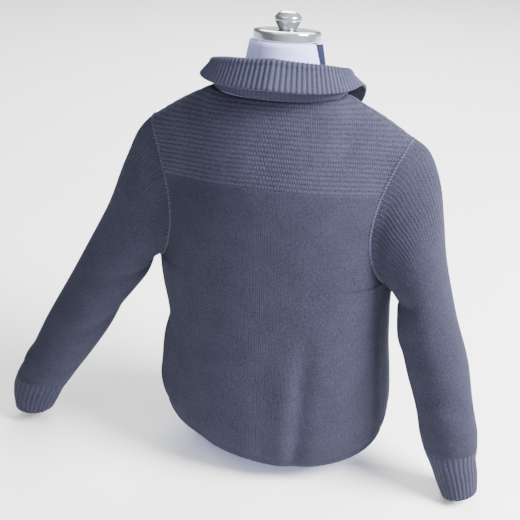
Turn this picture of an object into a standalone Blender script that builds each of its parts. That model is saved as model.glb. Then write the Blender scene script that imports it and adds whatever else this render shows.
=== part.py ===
"""Zip-up sweater in a chunky knit, worn on a limbless dress form.

Frame: metres, +Z up, origin at the middle of the form's flat underside.  The wearer's front faces -Y,
so the back panel is at +Y, and the wearer's left is at +X.

The body is drawn as level rings up to the armpits.  Above them each row runs from the armhole line to
the middle of the panel, and the last row is the shoulder seam and the neckline.  Every cloth piece is a
closed wall between its outer points and the same points moved in along a direction that neighbouring
pieces share at their seam, so that the ends of two walls stand face to face.
"""
import math
from collections import namedtuple

import bmesh
import bpy
import numpy as np
from mathutils import Matrix, Vector

# ---- cloth -------------------------------------------------------------------------------------
WALL = 0.003                 # thickness of the chunky knit
SEAM = 0.0003                # space between the walls of two pieces at a seam
RIB_RELIEF = 0.0014          # height of a rib over its furrow, collar and cuffs

# ---- body of the sweater -------------------------------------------------------------------------
HEM_HEIGHT = 0.026           # turned-in lower edge at its lowest place
HEM_LOWEST = -0.055          # that place, across from the middle of the back
HEM_LIFT = 0.057             # the sides of the hem ride this much higher
HEM_BAND = 0.160             # the lift dies out this far up
PIT_HEIGHT = 0.385           # bottom of the armholes
RING_POWER = 2.3             # squareness of the level rings
SIDE_SEAM_ANGLE = 18.0       # degrees behind the widest place, where the side seams run
FRONT_EDGE = 0.0080          # from the middle to the edge of a front, zip closed

BodyRow = namedtuple("BodyRow", "height half_width back_depth front_depth")
BODY_ROWS = (
    BodyRow(0.026, 0.172, 0.116, 0.110),
    BodyRow(0.033, 0.190, 0.130, 0.122),
    BodyRow(0.055, 0.203, 0.141, 0.132),
    BodyRow(0.095, 0.208, 0.147, 0.137),
    BodyRow(0.160, 0.206, 0.147, 0.136),
    BodyRow(0.270, 0.199, 0.141, 0.130),
    BodyRow(0.385, 0.203, 0.138, 0.127),
)
MiddleRow = namedtuple("MiddleRow", "height depth")
BACK_MIDDLE = (
    MiddleRow(0.385, 0.138),
    MiddleRow(0.450, 0.143),
    MiddleRow(0.520, 0.142),
    MiddleRow(0.585, 0.130),
    MiddleRow(0.640, 0.109),
    MiddleRow(0.684, 0.086),
)
FRONT_MIDDLE = (
    MiddleRow(0.385, -0.127),
    MiddleRow(0.450, -0.131),
    MiddleRow(0.520, -0.130),
    MiddleRow(0.565, -0.125),
    MiddleRow(0.600, -0.117),
)

# ---- armholes, shoulders and neckline --------------------------------------------------------------
SHOULDER_TIP = (0.210, 0.026, 0.620)
NECK_POINT = (0.103, 0.034, 0.687)       # where the shoulder seam meets the neckline
SHOULDER_CROWN = 0.004                   # rise of the shoulder seam over a straight line
ARMHOLE_BACK_REACH = 0.046               # the armhole bows this far back of its ends
ARMHOLE_FRONT_REACH = -0.105
ARMHOLE_BACK_INSET = 0.011               # and cuts this far in from the ring of the armpits
ARMHOLE_FRONT_INSET = 0.017
ARMHOLE_EDGE_ANGLE = 38.0                # degrees on the ring where a row meets the armhole
ZIP_OPEN_HEIGHT = 0.540                  # the zip is closed up to here
NECK_OPENING = 0.040                     # half the spread of the fronts at the neckline
NECK_MIDDLE = (0.0, -0.010, 0.0)         # axis of the neck hole
NECK_SHARE = 0.56                        # share of the top row that is neckline
TOP_RISE_POWER = 1.7                     # how late the rows rise to the shoulder and neckline

# ---- grid of the panels ----------------------------------------------------------------------------
ROWS_BELOW = 13
ROWS_ARMHOLE = 12
ARMHOLE_CROWDING = 1.15
COLUMNS_NECK = 8
COLUMNS_SHOULDER = 5

# ---- largest folds: height and place on the panel, share across from the middle to the side ---------
Fold = namedtuple("Fold", "panel side across low high width depth lean")
FOLDS = (
    Fold("back", -1, 0.33, 0.04, 0.33, 0.016, -0.0050, 0.05),
    Fold("back", -1, 0.20, 0.05, 0.30, 0.022, 0.0030, 0.04),
    Fold("back", +1, 0.80, 0.10, 0.36, 0.014, -0.0060, -0.04),
    Fold("back", +1, 0.52, 0.05, 0.22, 0.022, -0.0030, 0.08),
    Fold("front", -1, 0.46, 0.06, 0.34, 0.018, -0.0045, 0.06),
    Fold("front", +1, 0.58, 0.05, 0.32, 0.018, -0.0050, -0.05),
)
Pinch = namedtuple("Pinch", "side height reach depth")
PINCHES = (
    Pinch(+1, 0.275, 0.040, -0.0110),
    Pinch(+1, 0.098, 0.020, -0.0060),
    Pinch(-1, 0.330, 0.045, -0.0050),
)

# ---- sleeves: the line under the arm and the line over it, both on the sleeve's outer face ----------
SleeveRow = namedtuple("SleeveRow", "share under over half_depth")
SLEEVE_RIGHT = (
    SleeveRow(0.00, (0.194, 0.050, 0.385), SHOULDER_TIP, 0.075),
    SleeveRow(0.07, (0.203, 0.050, 0.381), (0.234, 0.022, 0.600), 0.075),
    SleeveRow(0.15, (0.209, 0.050, 0.372), (0.256, 0.025, 0.554), 0.072),
    SleeveRow(0.25, (0.213, 0.050, 0.355), (0.271, 0.030, 0.492), 0.067),
    SleeveRow(0.36, (0.214, 0.051, 0.330), (0.286, 0.036, 0.422), 0.060),
    SleeveRow(0.50, (0.219, 0.054, 0.283), (0.308, 0.045, 0.343), 0.054),
    SleeveRow(0.65, (0.242, 0.060, 0.222), (0.336, 0.055, 0.262), 0.051),
    SleeveRow(0.80, (0.263, 0.068, 0.160), (0.354, 0.065, 0.188), 0.049),
    SleeveRow(0.92, (0.275, 0.075, 0.112), (0.368, 0.074, 0.130), 0.047),
    SleeveRow(1.00, (0.284, 0.080, 0.086), (0.373, 0.079, 0.102), 0.043),
)
SLEEVE_LEFT = (
    SleeveRow(0.00, (0.194, 0.050, 0.385), SHOULDER_TIP, 0.075),
    SleeveRow(0.07, (0.204, 0.049, 0.382), (0.237, 0.020, 0.590), 0.076),
    SleeveRow(0.15, (0.211, 0.047, 0.373), (0.260, 0.020, 0.540), 0.074),
    SleeveRow(0.25, (0.217, 0.043, 0.357), (0.288, 0.020, 0.468), 0.068),
    SleeveRow(0.36, (0.229, 0.038, 0.330), (0.325, 0.022, 0.395), 0.060),
    SleeveRow(0.50, (0.266, 0.037, 0.276), (0.370, 0.030, 0.312), 0.054),
    SleeveRow(0.65, (0.309, 0.041, 0.205), (0.418, 0.037, 0.226), 0.051),
    SleeveRow(0.80, (0.350, 0.048, 0.141), (0.455, 0.045, 0.150), 0.049),
    SleeveRow(0.92, (0.374, 0.052, 0.106), (0.477, 0.050, 0.112), 0.047),
    SleeveRow(1.00, (0.386, 0.054, 0.088), (0.486, 0.053, 0.094), 0.043),
)
CuffRow = namedtuple("CuffRow", "share under over half_depth")
CUFF_RIGHT = (
    CuffRow(0.00, (0.284, 0.080, 0.086), (0.373, 0.079, 0.102), 0.043),
    CuffRow(0.18, (0.292, 0.082, 0.072), (0.372, 0.081, 0.088), 0.039),
    CuffRow(0.60, (0.308, 0.086, 0.038), (0.378, 0.086, 0.054), 0.036),
    CuffRow(1.00, (0.322, 0.090, 0.007), (0.382, 0.090, 0.022), 0.035),
)
CUFF_LEFT = (
    CuffRow(0.00, (0.386, 0.054, 0.088), (0.486, 0.053, 0.094), 0.043),
    CuffRow(0.18, (0.394, 0.055, 0.077), (0.491, 0.054, 0.080), 0.040),
    CuffRow(0.60, (0.408, 0.057, 0.052), (0.495, 0.056, 0.054), 0.038),
    CuffRow(1.00, (0.421, 0.059, 0.026), (0.492, 0.059, 0.027), 0.037),
)
SLEEVE_ROWS = 17
SLEEVE_SET_SHARE = 0.42      # over this share the sleeve leaves the armhole's own outline
SLEEVE_CLEARANCE = 0.006     # a sleeve that hangs along the side keeps this far off it
SLEEVE_CLEAR_ABOVE = 0.035   # and begins to do so this far over the armpit
SLEEVE_SOFTNESS = 0.004      # roundness of the place where it is pressed flat
CUFF_ROWS = 3
CUFF_RIBS = 22
Wrinkle = namedtuple("Wrinkle", "sleeve share turn width depth slope")
WRINKLES = (
    Wrinkle(-1, 0.32, -40.0, 0.045, -0.0045, 0.10),
    Wrinkle(-1, 0.55, -70.0, 0.040, -0.0045, -0.08),
    Wrinkle(-1, 0.84, 20.0, 0.035, 0.0035, 0.08),
    Wrinkle(+1, 0.36, -40.0, 0.045, -0.0045, 0.12),
    Wrinkle(+1, 0.60, -50.0, 0.045, -0.0045, 0.08),
    Wrinkle(+1, 0.85, 60.0, 0.035, 0.0040, -0.08),
)

# ---- collar: a ribbed band that stands, rolls over and falls outwards -------------------------------
COLLAR_STEPS_BACK = 4        # rib columns in each step of the back's neckline
COLLAR_STEPS_FRONT = 4       # and of a front's
COLLAR_ROLL = 0.0060         # radius of the roll at the top
STAND_STEPS = 2
ROLL_STEPS = 3
FALL_STEPS = 2
CollarRow = namedtuple("CollarRow", "turn stand fall spread lean")
COLLAR_ROWS = (              # turn 0 is the middle of the back, 1 a front end
    CollarRow(0.00, 0.058, 0.032, 0.024, -0.004),
    CollarRow(0.25, 0.048, 0.029, 0.018, -0.008),
    CollarRow(0.50, 0.034, 0.018, 0.016, -0.006),
    CollarRow(0.62, 0.030, 0.014, 0.020, -0.003),
    CollarRow(0.80, 0.024, 0.020, 0.022, 0.002),
    CollarRow(1.00, 0.018, 0.030, 0.024, 0.006),
)

# ---- zip ---------------------------------------------------------------------------------------------
TAPE_WIDTH = 0.018
TAPE_THICKNESS = 0.0010
TEETH_WIDTH = 0.0028         # one side of the row of teeth
TEETH_THICKNESS = 0.0028
ZIP_FOOT = 0.012             # the tape stops this far over the hem row
SLIDER_WIDTH = 0.0100
SLIDER_LENGTH = 0.0140
SLIDER_THICKNESS = 0.0024
LUG_WIDTH = 0.0016
LUG_SPACING = 0.0052         # between the middles of the two lugs
PIN_RADIUS = 0.0008
PIN_STAND_OFF = 0.0030       # from the face of the slider to the pin
TAB_WIDTH = 0.0060
TAB_LENGTH = 0.0280
TAB_THICKNESS = 0.0014
TAB_EYE_RADIUS = 0.0012
TAB_EYE_WALL = 0.0012

# ---- dress form ----------------------------------------------------------------------------------------
FORM_CLEARANCE = 0.0004      # under the shoulder seams, where the sweater rests
FORM_NECK_EASE = 0.012       # more of it at the neckline, front and back
FORM_BOW_SHARE = 0.55        # the form's armhole bows this share of the cloth's
FORM_ROWS_BELOW = 8
FORM_ROWS_ARMHOLE = 7
FORM_COLUMNS_NECK = 5
FORM_COLUMNS_SHOULDER = 4
NECK_TOP_HEIGHT = 0.750
NECK_TILT = 10.0             # degrees, the neck's top leans forward
FORM_FOOT = ((0.000, 0.70), (0.007, 0.80), (0.018, 0.91))   # height, share of the lowest cloth ring
CAP_PROFILE = ((0.0, 0.0170), (0.0480, 0.0170), (0.0525, 0.0155), (0.0535, 0.0130), (0.0535, 0.0012),
               (0.0525, 0.0), (0.0, 0.0))
KNOB_PROFILE = ((0.0, 0.0290), (0.0080, 0.0284), (0.0150, 0.0255), (0.0198, 0.0205), (0.0212, 0.0185),
                (0.0216, 0.0140), (0.0205, 0.0115), (0.0160, 0.0045), (0.0142, 0.0012), (0.0142, 0.0),
                (0.0, 0.0))
TURNED_STEPS = 24
EaseRow = namedtuple("EaseRow", "height ease")
FORM_EASE = (                # how far the form stays inside the cloth
    EaseRow(0.026, 0.026),
    EaseRow(0.060, 0.046),
    EaseRow(0.110, 0.050),
    EaseRow(0.230, 0.048),
    EaseRow(0.385, 0.024),
)
NeckRow = namedtuple("NeckRow", "share half_width half_depth forward height")
NECK_ROWS = (
    NeckRow(0.45, 0.078, 0.074, 0.002, 0.686),
    NeckRow(0.75, 0.066, 0.064, 0.008, 0.712),
    NeckRow(1.00, 0.0580, 0.0580, 0.014, NECK_TOP_HEIGHT),
)

KNIT = ((0.112, 0.120, 0.190, 1.0), 0.95, 0.0)
RIB = ((0.125, 0.134, 0.205, 1.0), 0.95, 0.0)
TAPE = ((0.035, 0.038, 0.055, 1.0), 0.90, 0.0)
NICKEL = ((0.62, 0.63, 0.66, 1.0), 0.28, 1.0)
CHROME = ((0.80, 0.81, 0.84, 1.0), 0.10, 1.0)
LINEN = ((0.62, 0.61, 0.78, 1.0), 0.85, 0.0)


# ---- numbers -------------------------------------------------------------------------------------------
def smooth_step(value):
    """0 below 0, 1 above 1, and 3v^2 - 2v^3 between them."""
    value = np.clip(value, 0.0, 1.0)
    return value * value * (3.0 - 2.0 * value)


def unit(vectors):
    return vectors / np.maximum(np.linalg.norm(vectors, axis=-1, keepdims=True), 1e-12)


def through(places, values, at):
    """A smooth curve through the values at their places (cubic Hermite pieces), read at other places."""
    places = np.asarray(places, float)
    values = np.asarray(values, float)
    at = np.clip(np.asarray(at, float), places[0], places[-1])
    slopes = np.gradient(values, places, axis=0)
    piece = np.clip(np.searchsorted(places, at, side="right") - 1, 0, len(places) - 2)
    step = places[piece + 1] - places[piece]
    part = (at - places[piece]) / step
    if values.ndim > 1:
        step = step[..., None]
        part = part[..., None]
    start, end = values[piece], values[piece + 1]
    start_slope, end_slope = slopes[piece] * step, slopes[piece + 1] * step
    return (start * (2 * part**3 - 3 * part**2 + 1) + start_slope * (part**3 - 2 * part**2 + part)
            + end * (3 * part**2 - 2 * part**3) + end_slope * (part**3 - part**2))


def column(table, name, key, at):
    """One named column of a table, read as a smooth curve over its key column."""
    return through([getattr(row, key) for row in table], [getattr(row, name) for row in table], at)


def ring_point(angle, half_width, depth):
    """Point of a level ring at an angle from the side: a superellipse with its own depth front and back."""
    cosine, sine = np.cos(angle), np.sin(angle)
    power = 2.0 / RING_POWER
    across = half_width * np.sign(cosine) * np.abs(cosine) ** power
    behind = depth * np.abs(sine) ** power * np.sign(sine)
    return across, behind


# ---- body ------------------------------------------------------------------------------------------------
def hem_lift(across, height):
    """The hem is lowest a little to the wearer's right of the middle and rises as a square to the sides."""
    share = ((across - HEM_LOWEST) / 0.25) ** 2
    return HEM_LIFT * share * (1.0 - smooth_step((height - HEM_HEIGHT) / HEM_BAND))


def ring_across(behind, half_width, back_depth, front_depth):
    """Half-width of a level ring at a place behind its middle."""
    share = np.abs(behind) / np.where(behind > 0.0, back_depth, front_depth)
    return half_width * np.clip(1.0 - share**RING_POWER, 0.0, 1.0) ** (1.0 / RING_POWER)


def ring_angle(behind, back_depth, front_depth):
    """Angle on a level ring of the place so far behind its middle."""
    share = np.abs(behind) / np.where(behind > 0.0, back_depth, front_depth)
    return np.arcsin(np.clip(share, 0.0, 1.0) ** (RING_POWER / 2.0)) * np.sign(behind)


def armhole_line(turn, panel, bow_share):
    """Armhole of one panel from the armpit (turn 0) to the shoulder tip (turn 1).

    Seen from the side it is half an oval; across, it leaves the level ring of the armpits slowly.
    """
    half_width, back_depth, front_depth = (column(BODY_ROWS, name, "height", PIT_HEIGHT)
                                           for name in ("half_width", "back_depth", "front_depth"))
    pit_behind = ring_point(math.radians(SIDE_SEAM_ANGLE), half_width, back_depth)[1]
    reach = ARMHOLE_BACK_REACH if panel == "back" else ARMHOLE_FRONT_REACH
    inset = ARMHOLE_BACK_INSET if panel == "back" else ARMHOLE_FRONT_INSET
    rise = (1.0 - np.cos(np.pi * turn)) / 2.0
    bow = np.sin(np.pi * turn) * bow_share
    behind = pit_behind + (SHOULDER_TIP[1] - pit_behind) * rise + reach * bow
    tip_across = ring_across(np.array(SHOULDER_TIP[1]), half_width, back_depth, front_depth)
    across = (ring_across(behind, half_width, back_depth, front_depth)
              + (SHOULDER_TIP[0] - tip_across) * rise - inset * bow**2.0)
    height = PIT_HEIGHT + (SHOULDER_TIP[2] - PIT_HEIGHT) * rise
    return across, behind, height


def base_rows(share, level, panel, opening, bow_share):
    """Rows of a panel before its top edge is set.

    share runs from 0 at the middle to 1 at the side, level from 0 at the hem over 1 at the armpit to 2.
    """
    sign = 1.0 if panel == "back" else -1.0
    middle = BACK_MIDDLE if panel == "back" else FRONT_MIDDLE
    depth_name = "back_depth" if panel == "back" else "front_depth"
    low = np.clip(level, 0.0, 1.0)
    turn = np.clip(level - 1.0, 0.0, 1.0)
    ring_height = HEM_HEIGHT + (PIT_HEIGHT - HEM_HEIGHT) * low**1.35
    half_width = column(BODY_ROWS, "half_width", "height", ring_height)
    depth = column(BODY_ROWS, depth_name, "height", ring_height)
    back_depth = column(BODY_ROWS, "back_depth", "height", ring_height)
    edge_across, edge_behind, edge_height = armhole_line(turn, panel, bow_share)
    # the row ends at the side seam, then at the armhole's own place on the ring, then at a set angle
    seam_angle = math.radians(SIDE_SEAM_ANGLE)
    own_angle = np.where(level > 1.0, ring_angle(edge_behind, back_depth, depth), seam_angle)
    set_angle = sign * math.radians(ARMHOLE_EDGE_ANGLE)
    end_angle = own_angle + (set_angle - own_angle) * smooth_step((turn - 0.10) / 0.50)
    angle = sign * math.pi / 2 + (end_angle - sign * math.pi / 2) * share
    ring_depth = np.where(angle > 0, back_depth, depth)
    across, behind = ring_point(angle, half_width, ring_depth)
    end_across, end_behind = ring_point(end_angle, half_width, np.where(end_angle > 0, back_depth, depth))
    # above the armpit the row is stretched between the armhole and the middle of the panel
    rise = (1.0 - np.cos(np.pi * turn)) / 2.0
    middle_height = middle[0].height + (middle[-1].height - middle[0].height) * rise
    middle_depth = column(middle, "depth", "height", middle_height)
    upper_across = across * edge_across / end_across
    upper_behind = (edge_behind + (middle_depth - edge_behind)
                    * (behind - end_behind) / (sign * ring_depth - end_behind))
    upper_height = edge_height + (middle_height - edge_height) * (1.0 - share**2)
    above = level > 1.0
    x = np.where(above, upper_across, across)
    y = np.where(above, upper_behind, behind)
    z = np.where(above, upper_height, ring_height + 0.0 * share)
    if panel == "front" and opening:
        open_share = (z - ZIP_OPEN_HEIGHT) / (FRONT_MIDDLE[-1].height - ZIP_OPEN_HEIGHT)
        spread = np.clip(2.0 * smooth_step(open_share / 2.0), 0.0, 1.0)
        edge = FRONT_EDGE + (NECK_OPENING - FRONT_EDGE) * spread
        x = x + edge * (1.0 - share) ** 2
    return np.stack([x, y, z], axis=-1)


def top_edge(share, panel, opening):
    """Neckline from the middle to the neck point, a quarter of an ellipse, then the shoulder seam."""
    quarter = np.clip(share / NECK_SHARE, 0.0, 1.0) * math.pi / 2
    middle = BACK_MIDDLE[-1] if panel == "back" else FRONT_MIDDLE[-1]
    start = NECK_OPENING if panel == "front" and opening else 0.0
    x = start + (NECK_POINT[0] - start) * np.sin(quarter)
    y = NECK_POINT[1] + (middle.depth - NECK_POINT[1]) * np.cos(quarter)
    z = NECK_POINT[2] + (middle.height - NECK_POINT[2]) * np.cos(quarter) ** 1.4
    along = np.clip((share - NECK_SHARE) / (1.0 - NECK_SHARE), 0.0, 1.0)
    seam = [NECK_POINT[axis] + (SHOULDER_TIP[axis] - NECK_POINT[axis]) * along for axis in range(3)]
    seam[2] = seam[2] + SHOULDER_CROWN * np.sin(np.pi * along)
    neck = (share < NECK_SHARE)[..., None]
    return np.where(neck, np.stack([x, y, z], axis=-1), np.stack(seam, axis=-1))


def panel_surface(share, level, panel, opening=True, bow_share=1.0):
    """Outer face of half a panel on the wearer's left: rows from the hem to the shoulder and neckline."""
    share, level = np.broadcast_arrays(share[None, :], level[:, None])
    base = base_rows(share, level, panel, opening, bow_share)
    last = base_rows(share, np.full_like(level, 2.0), panel, opening, bow_share)
    turn = np.clip(level - 1.0, 0.0, 1.0)[..., None]
    # the top edge is worked in late across and behind, and early in height, which rounds the shoulder
    weight = np.concatenate([turn**3, turn**3, turn**TOP_RISE_POWER], axis=-1)
    return base + weight * (top_edge(share, panel, opening) - last)


def folded(points, normals, panel):
    """Moves a panel's points along their normals by the largest folds and pinches."""
    x, y, z = points[..., 0], points[..., 1], points[..., 2]
    height = column(BODY_ROWS, "half_width", "height", np.clip(z, HEM_HEIGHT, PIT_HEIGHT))
    move = np.zeros_like(z)
    for fold in FOLDS:
        if fold.panel != panel:
            continue
        middle = fold.side * (fold.across * height + fold.lean * (z - fold.low))
        along = smooth_step((z - fold.low + 0.03) / 0.06) * smooth_step((fold.high - z) / 0.10)
        move += fold.depth * np.exp(-((x - middle) / fold.width) ** 2) * along
    for pinch in PINCHES:
        near = np.exp(-((z - pinch.height) / pinch.reach) ** 2)
        side = smooth_step((pinch.side * x / height - 0.80) / 0.20)
        move += pinch.depth * near * side
    return points + normals * move[..., None]


def surface_normals(points):
    """Unit normals of a grid of points, from its rows and columns."""
    return unit(np.cross(np.gradient(points, axis=1), np.gradient(points, axis=0)))


def panel_levels():
    """Levels of the panels' rows, closest together at the armpit."""
    low = np.linspace(0.0, 1.0, ROWS_BELOW + 1)
    high = np.linspace(0.0, 1.0, ROWS_ARMHOLE + 1)[1:] ** ARMHOLE_CROWDING
    return np.concatenate([low, 1.0 + high])


def panel_shares():
    neck = np.linspace(0.0, NECK_SHARE, COLUMNS_NECK + 1)
    return np.concatenate([neck, np.linspace(NECK_SHARE, 1.0, COLUMNS_SHOULDER + 1)[1:]])


def mirrored(points):
    return points * np.array([-1.0, 1.0, 1.0])


def lifted(points):
    """Raises the hem on the wearer's right."""
    result = points.copy()
    result[..., 2] += hem_lift(points[..., 0], points[..., 2])
    return result


def body_panels():
    """Outer points and inward directions of the back and the two fronts, with shared seam directions.

    Columns run from the wearer's right to the left on the back, and from the middle to the side on a
    front.  Returns panel name -> (points, normals).
    """
    shares, levels = panel_shares(), panel_levels()
    back_half = panel_surface(shares, levels, "back")
    front_half = panel_surface(shares, levels, "front")
    back = lifted(np.concatenate([mirrored(back_half[:, :0:-1]), back_half], axis=1))
    front_left = lifted(front_half)
    front_right = lifted(mirrored(front_half))
    normals = {"back": -surface_normals(back), "front_left": surface_normals(front_left),
               "front_right": -surface_normals(front_right)}
    points = {"back": back, "front_left": front_left, "front_right": front_right}
    points["back"] = folded(points["back"], normals["back"], "back")
    for name in ("front_left", "front_right"):
        points[name] = folded(points[name], normals[name], "front")
    join = COLUMNS_NECK
    for name, side in (("front_left", -1), ("front_right", 0)):
        below = slice(0, ROWS_BELOW + 1)
        shared = unit(normals["back"][below, side] + normals[name][below, -1])
        place = (points["back"][below, side] + points[name][below, -1]) / 2
        normals["back"][below, side] = normals[name][below, -1] = shared
        points["back"][below, side] = points[name][below, -1] = place
        top_back = normals["back"][-1] if side == -1 else normals["back"][-1, ::-1]
        top_front = normals[name][-1]
        shared = unit(top_back[-COLUMNS_SHOULDER - 1:] + top_front[join:])
        top_back[-COLUMNS_SHOULDER - 1:] = top_front[join:] = shared
    panels = {name: (points[name], normals[name]) for name in points}
    mitre_neckline(panels)
    return panels


def neckline_slices():
    """Columns of each panel's top row that are neckline, from the left front round the back."""
    middle = COLUMNS_NECK + COLUMNS_SHOULDER
    return (("front_left", slice(0, COLUMNS_NECK + 1)),
            ("back", slice(middle + COLUMNS_NECK, middle - COLUMNS_NECK - 1, -1)),
            ("front_right", slice(COLUMNS_NECK, None, -1)))


def level_outwards(line):
    """Level directions across a line round the neck, pointing away from it."""
    tangent = unit(np.gradient(line, axis=0) * np.array([1.0, 1.0, 0.0]))
    outwards = np.cross(tangent, [0.0, 0.0, 1.0])
    return outwards * np.sign(np.sum(outwards * (line - NECK_MIDDLE), axis=1, keepdims=True))


def mitre_neckline(panels):
    """Turns the wall's direction at the neckline half way from the panel's to the standing collar's."""
    slices = neckline_slices()
    parts = [panels[name][0][-1, columns] for name, columns in slices]
    line = np.concatenate([parts[0], parts[1][1:-1], parts[2]])
    outwards = level_outwards(line)
    last = COLUMNS_NECK
    spans = (slice(0, last + 1), slice(last, 3 * last + 1), slice(3 * last, 4 * last + 1))
    for (name, columns), span in zip(slices, spans):
        normals = panels[name][1]
        normals[-1, columns] = unit(normals[-1, columns] + outwards[span])


# ---- sleeves ---------------------------------------------------------------------------------------------
def armhole_loop(panels, side):
    """Closed loop of the armhole: armpit, up the back, tip, down the front.

    Returns the points, the panels' normals there, and points inside the panels next to them.
    """
    edge, beside = (-1, -2) if side > 0 else (0, 1)
    name = "front_left" if side > 0 else "front_right"
    back_points, back_normals = panels["back"]
    front_points, front_normals = panels[name]
    low, before = slice(ROWS_BELOW, None), slice(ROWS_BELOW - 1, -1)
    points = np.concatenate([back_points[low, edge], front_points[low, -1][-2:0:-1]])
    normals = np.concatenate([back_normals[low, edge], front_normals[low, -1][-2:0:-1]])
    within = np.concatenate([back_points[before, beside], front_points[before, -2][-2:0:-1]])
    return points, normals, within


def folded_seam(points, within, beyond, normals, other_normals):
    """Direction of the walls' shared end faces along a closed seam, and the way across the seam.

    The end faces halve the angle between the two cloths, which may fold right back on each other:
    both the sum of the normals and the sum of the ways into the cloths lie in the halving plane.
    """
    along = unit(np.roll(points, -1, axis=0) - np.roll(points, 1, axis=0))

    def square(vectors):
        return unit(vectors - along * np.sum(vectors * along, axis=1, keepdims=True))

    first, second = square(within - points), square(beyond - points)
    inward_fold = np.sign(np.sum(square(normals) * second, axis=1, keepdims=True))
    shared = square(square(normals) + square(other_normals) + inward_fold * (first + second))
    across = np.cross(along, shared)
    across = across * np.sign(np.sum(across * (second - first), axis=1, keepdims=True))
    return shared, across


def tube_rings(table, shares, count, side):
    """Rings between the line under the arm and the line over it, as ellipses in count points."""
    shares = np.asarray(shares)
    under = column(table, "under", "share", shares)[:, None]
    over = column(table, "over", "share", shares)[:, None]
    half_depth = column(table, "half_depth", "share", shares)[:, None, None]
    angle = (np.arange(count) / count * 2 * math.pi - math.pi / 2)[None, :, None]
    middle, half = (under + over) / 2, (over - under) / 2
    along = unit(np.gradient(middle, axis=0))
    backwards = unit(np.cross(unit(half), along))
    backwards = backwards * np.sign(backwards[..., 1:2])
    rings = middle + half * np.sin(angle) + backwards * half_depth * np.cos(angle)
    return rings if side > 0 else mirrored(rings)


def clear_of_body(points):
    """A sleeve along the side is pressed flat by it: across is at least the body's own half-width."""
    height = np.clip(points[..., 2], HEM_HEIGHT, PIT_HEIGHT)
    half_width = column(BODY_ROWS, "half_width", "height", height)
    depth = column(BODY_ROWS, "back_depth", "height", height)
    part = np.clip(1.0 - np.abs(points[..., 1] / depth) ** RING_POWER, 0.0, 1.0)
    least = half_width * part ** (1.0 / RING_POWER) + SLEEVE_CLEARANCE
    weight = smooth_step((PIT_HEIGHT + SLEEVE_CLEAR_ABOVE - points[..., 2]) / SLEEVE_CLEAR_ABOVE)
    result = points.copy()
    across = np.abs(points[..., 0])
    short = least - across
    push = (short + np.hypot(short, SLEEVE_SOFTNESS)) / 2 * weight
    result[..., 0] = np.sign(points[..., 0]) * (across + push)
    return result


def wrinkled(rings, normals, shares, side):
    """Moves the rings along their normals by the sleeve's largest wrinkles."""
    count = rings.shape[1]
    turn = (np.arange(count) / count * 360.0 - 90.0)[None, :]
    move = np.zeros(rings.shape[:2])
    for wrinkle in WRINKLES:
        if wrinkle.sleeve != side:
            continue
        away = np.radians((turn - wrinkle.turn + 180.0) % 360.0 - 180.0)
        line = wrinkle.share + wrinkle.slope * np.sin(away)
        move += (wrinkle.depth * np.exp(-((shares[:, None] - line) / wrinkle.width) ** 2)
                 * smooth_step(1.0 - np.abs(away) / 1.9))
    return rings + normals * move[..., None]


def closed_normals(rings, side):
    """Outward unit normals of rings that close on themselves."""
    around = np.roll(rings, -1, axis=1) - np.roll(rings, 1, axis=1)
    along = np.gradient(rings, axis=0)
    return unit(np.cross(along, around)) * -side


def sleeve_surface(panels, side):
    """Rings from the armhole to the cuff, their outward directions, and the way across the armhole seam."""
    loop, loop_normals, within = armhole_loop(panels, side)
    table = SLEEVE_LEFT if side > 0 else SLEEVE_RIGHT
    shares = np.linspace(0.0, 1.0, SLEEVE_ROWS + 1) ** 1.1
    tube = tube_rings(table, shares, len(loop), side)
    hold = 1.0 - smooth_step(shares / SLEEVE_SET_SHARE)
    rings = tube + (loop - tube[0])[None] * hold[:, None, None]
    rings = clear_of_body(rings)
    rings[0] = loop
    normals = closed_normals(rings, side)
    normals[0], across = folded_seam(loop, within, rings[1], loop_normals, normals[0])
    fade = smooth_step(shares / 0.1)[:, None, None] * smooth_step((1.0 - shares) / 0.06)[:, None, None]
    moved = wrinkled(rings, normals, shares, side)
    rings = rings + (moved - rings) * fade
    return rings, normals, across


# ---- walls -----------------------------------------------------------------------------------------------
def pulled_back(points, first, last):
    """Draws the ends of a grid's rows back by half a seam, along the cloth."""
    result = points.copy()
    if first:
        result[0] += unit(points[1] - points[0]) * SEAM / 2
    if last:
        result[-1] += unit(points[-2] - points[-1]) * SEAM / 2
    return result


def end_faces(number, points, count):
    """Triangles of an end face along a row of outer points; the cut runs from the higher outer point.

    Two walls that meet at a seam are cut alike by this rule, so that their end faces stay parallel.
    """
    first, second = number[:-1], number[1:]
    high = (points[first, 2] > points[second, 2])[:, None]
    one = np.where(high, np.stack([first, second, second + count], axis=-1),
                   np.stack([first, second, first + count], axis=-1))
    other = np.where(high, np.stack([first, second + count, first + count], axis=-1),
                     np.stack([second, second + count, first + count], axis=-1))
    return np.concatenate([one, other])


def wall_mesh(name, outer, inner, closed=False):
    """Closed wall between two grids of points with the same rows and columns.

    Where the columns close on themselves, the wall is a tube with a rim at each end.
    """
    rows, columns = outer.shape[:2]
    count = rows * columns
    number = np.arange(count).reshape(rows, columns)
    if closed:
        number = np.concatenate([number, number[:, :1]], axis=1)
    points = np.concatenate([outer.reshape(-1, 3), inner.reshape(-1, 3)])
    corner = (number[:-1, :-1], number[:-1, 1:], number[1:, 1:], number[1:, :-1])
    face = np.stack(corner, axis=-1).reshape(-1, 4)
    ends = [end_faces(number[0, ::-1], points, count), end_faces(number[-1], points, count)]
    if not closed:
        ends += [end_faces(number[:, 0], points, count), end_faces(number[::-1, -1], points, count)]
    faces = np.concatenate([face, (face + count)[:, ::-1]]).tolist() + np.concatenate(ends).tolist()
    mesh = bpy.data.meshes.new(name)
    mesh.from_pydata(points.tolist(), [], faces)
    mesh.validate()
    return mesh


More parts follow.
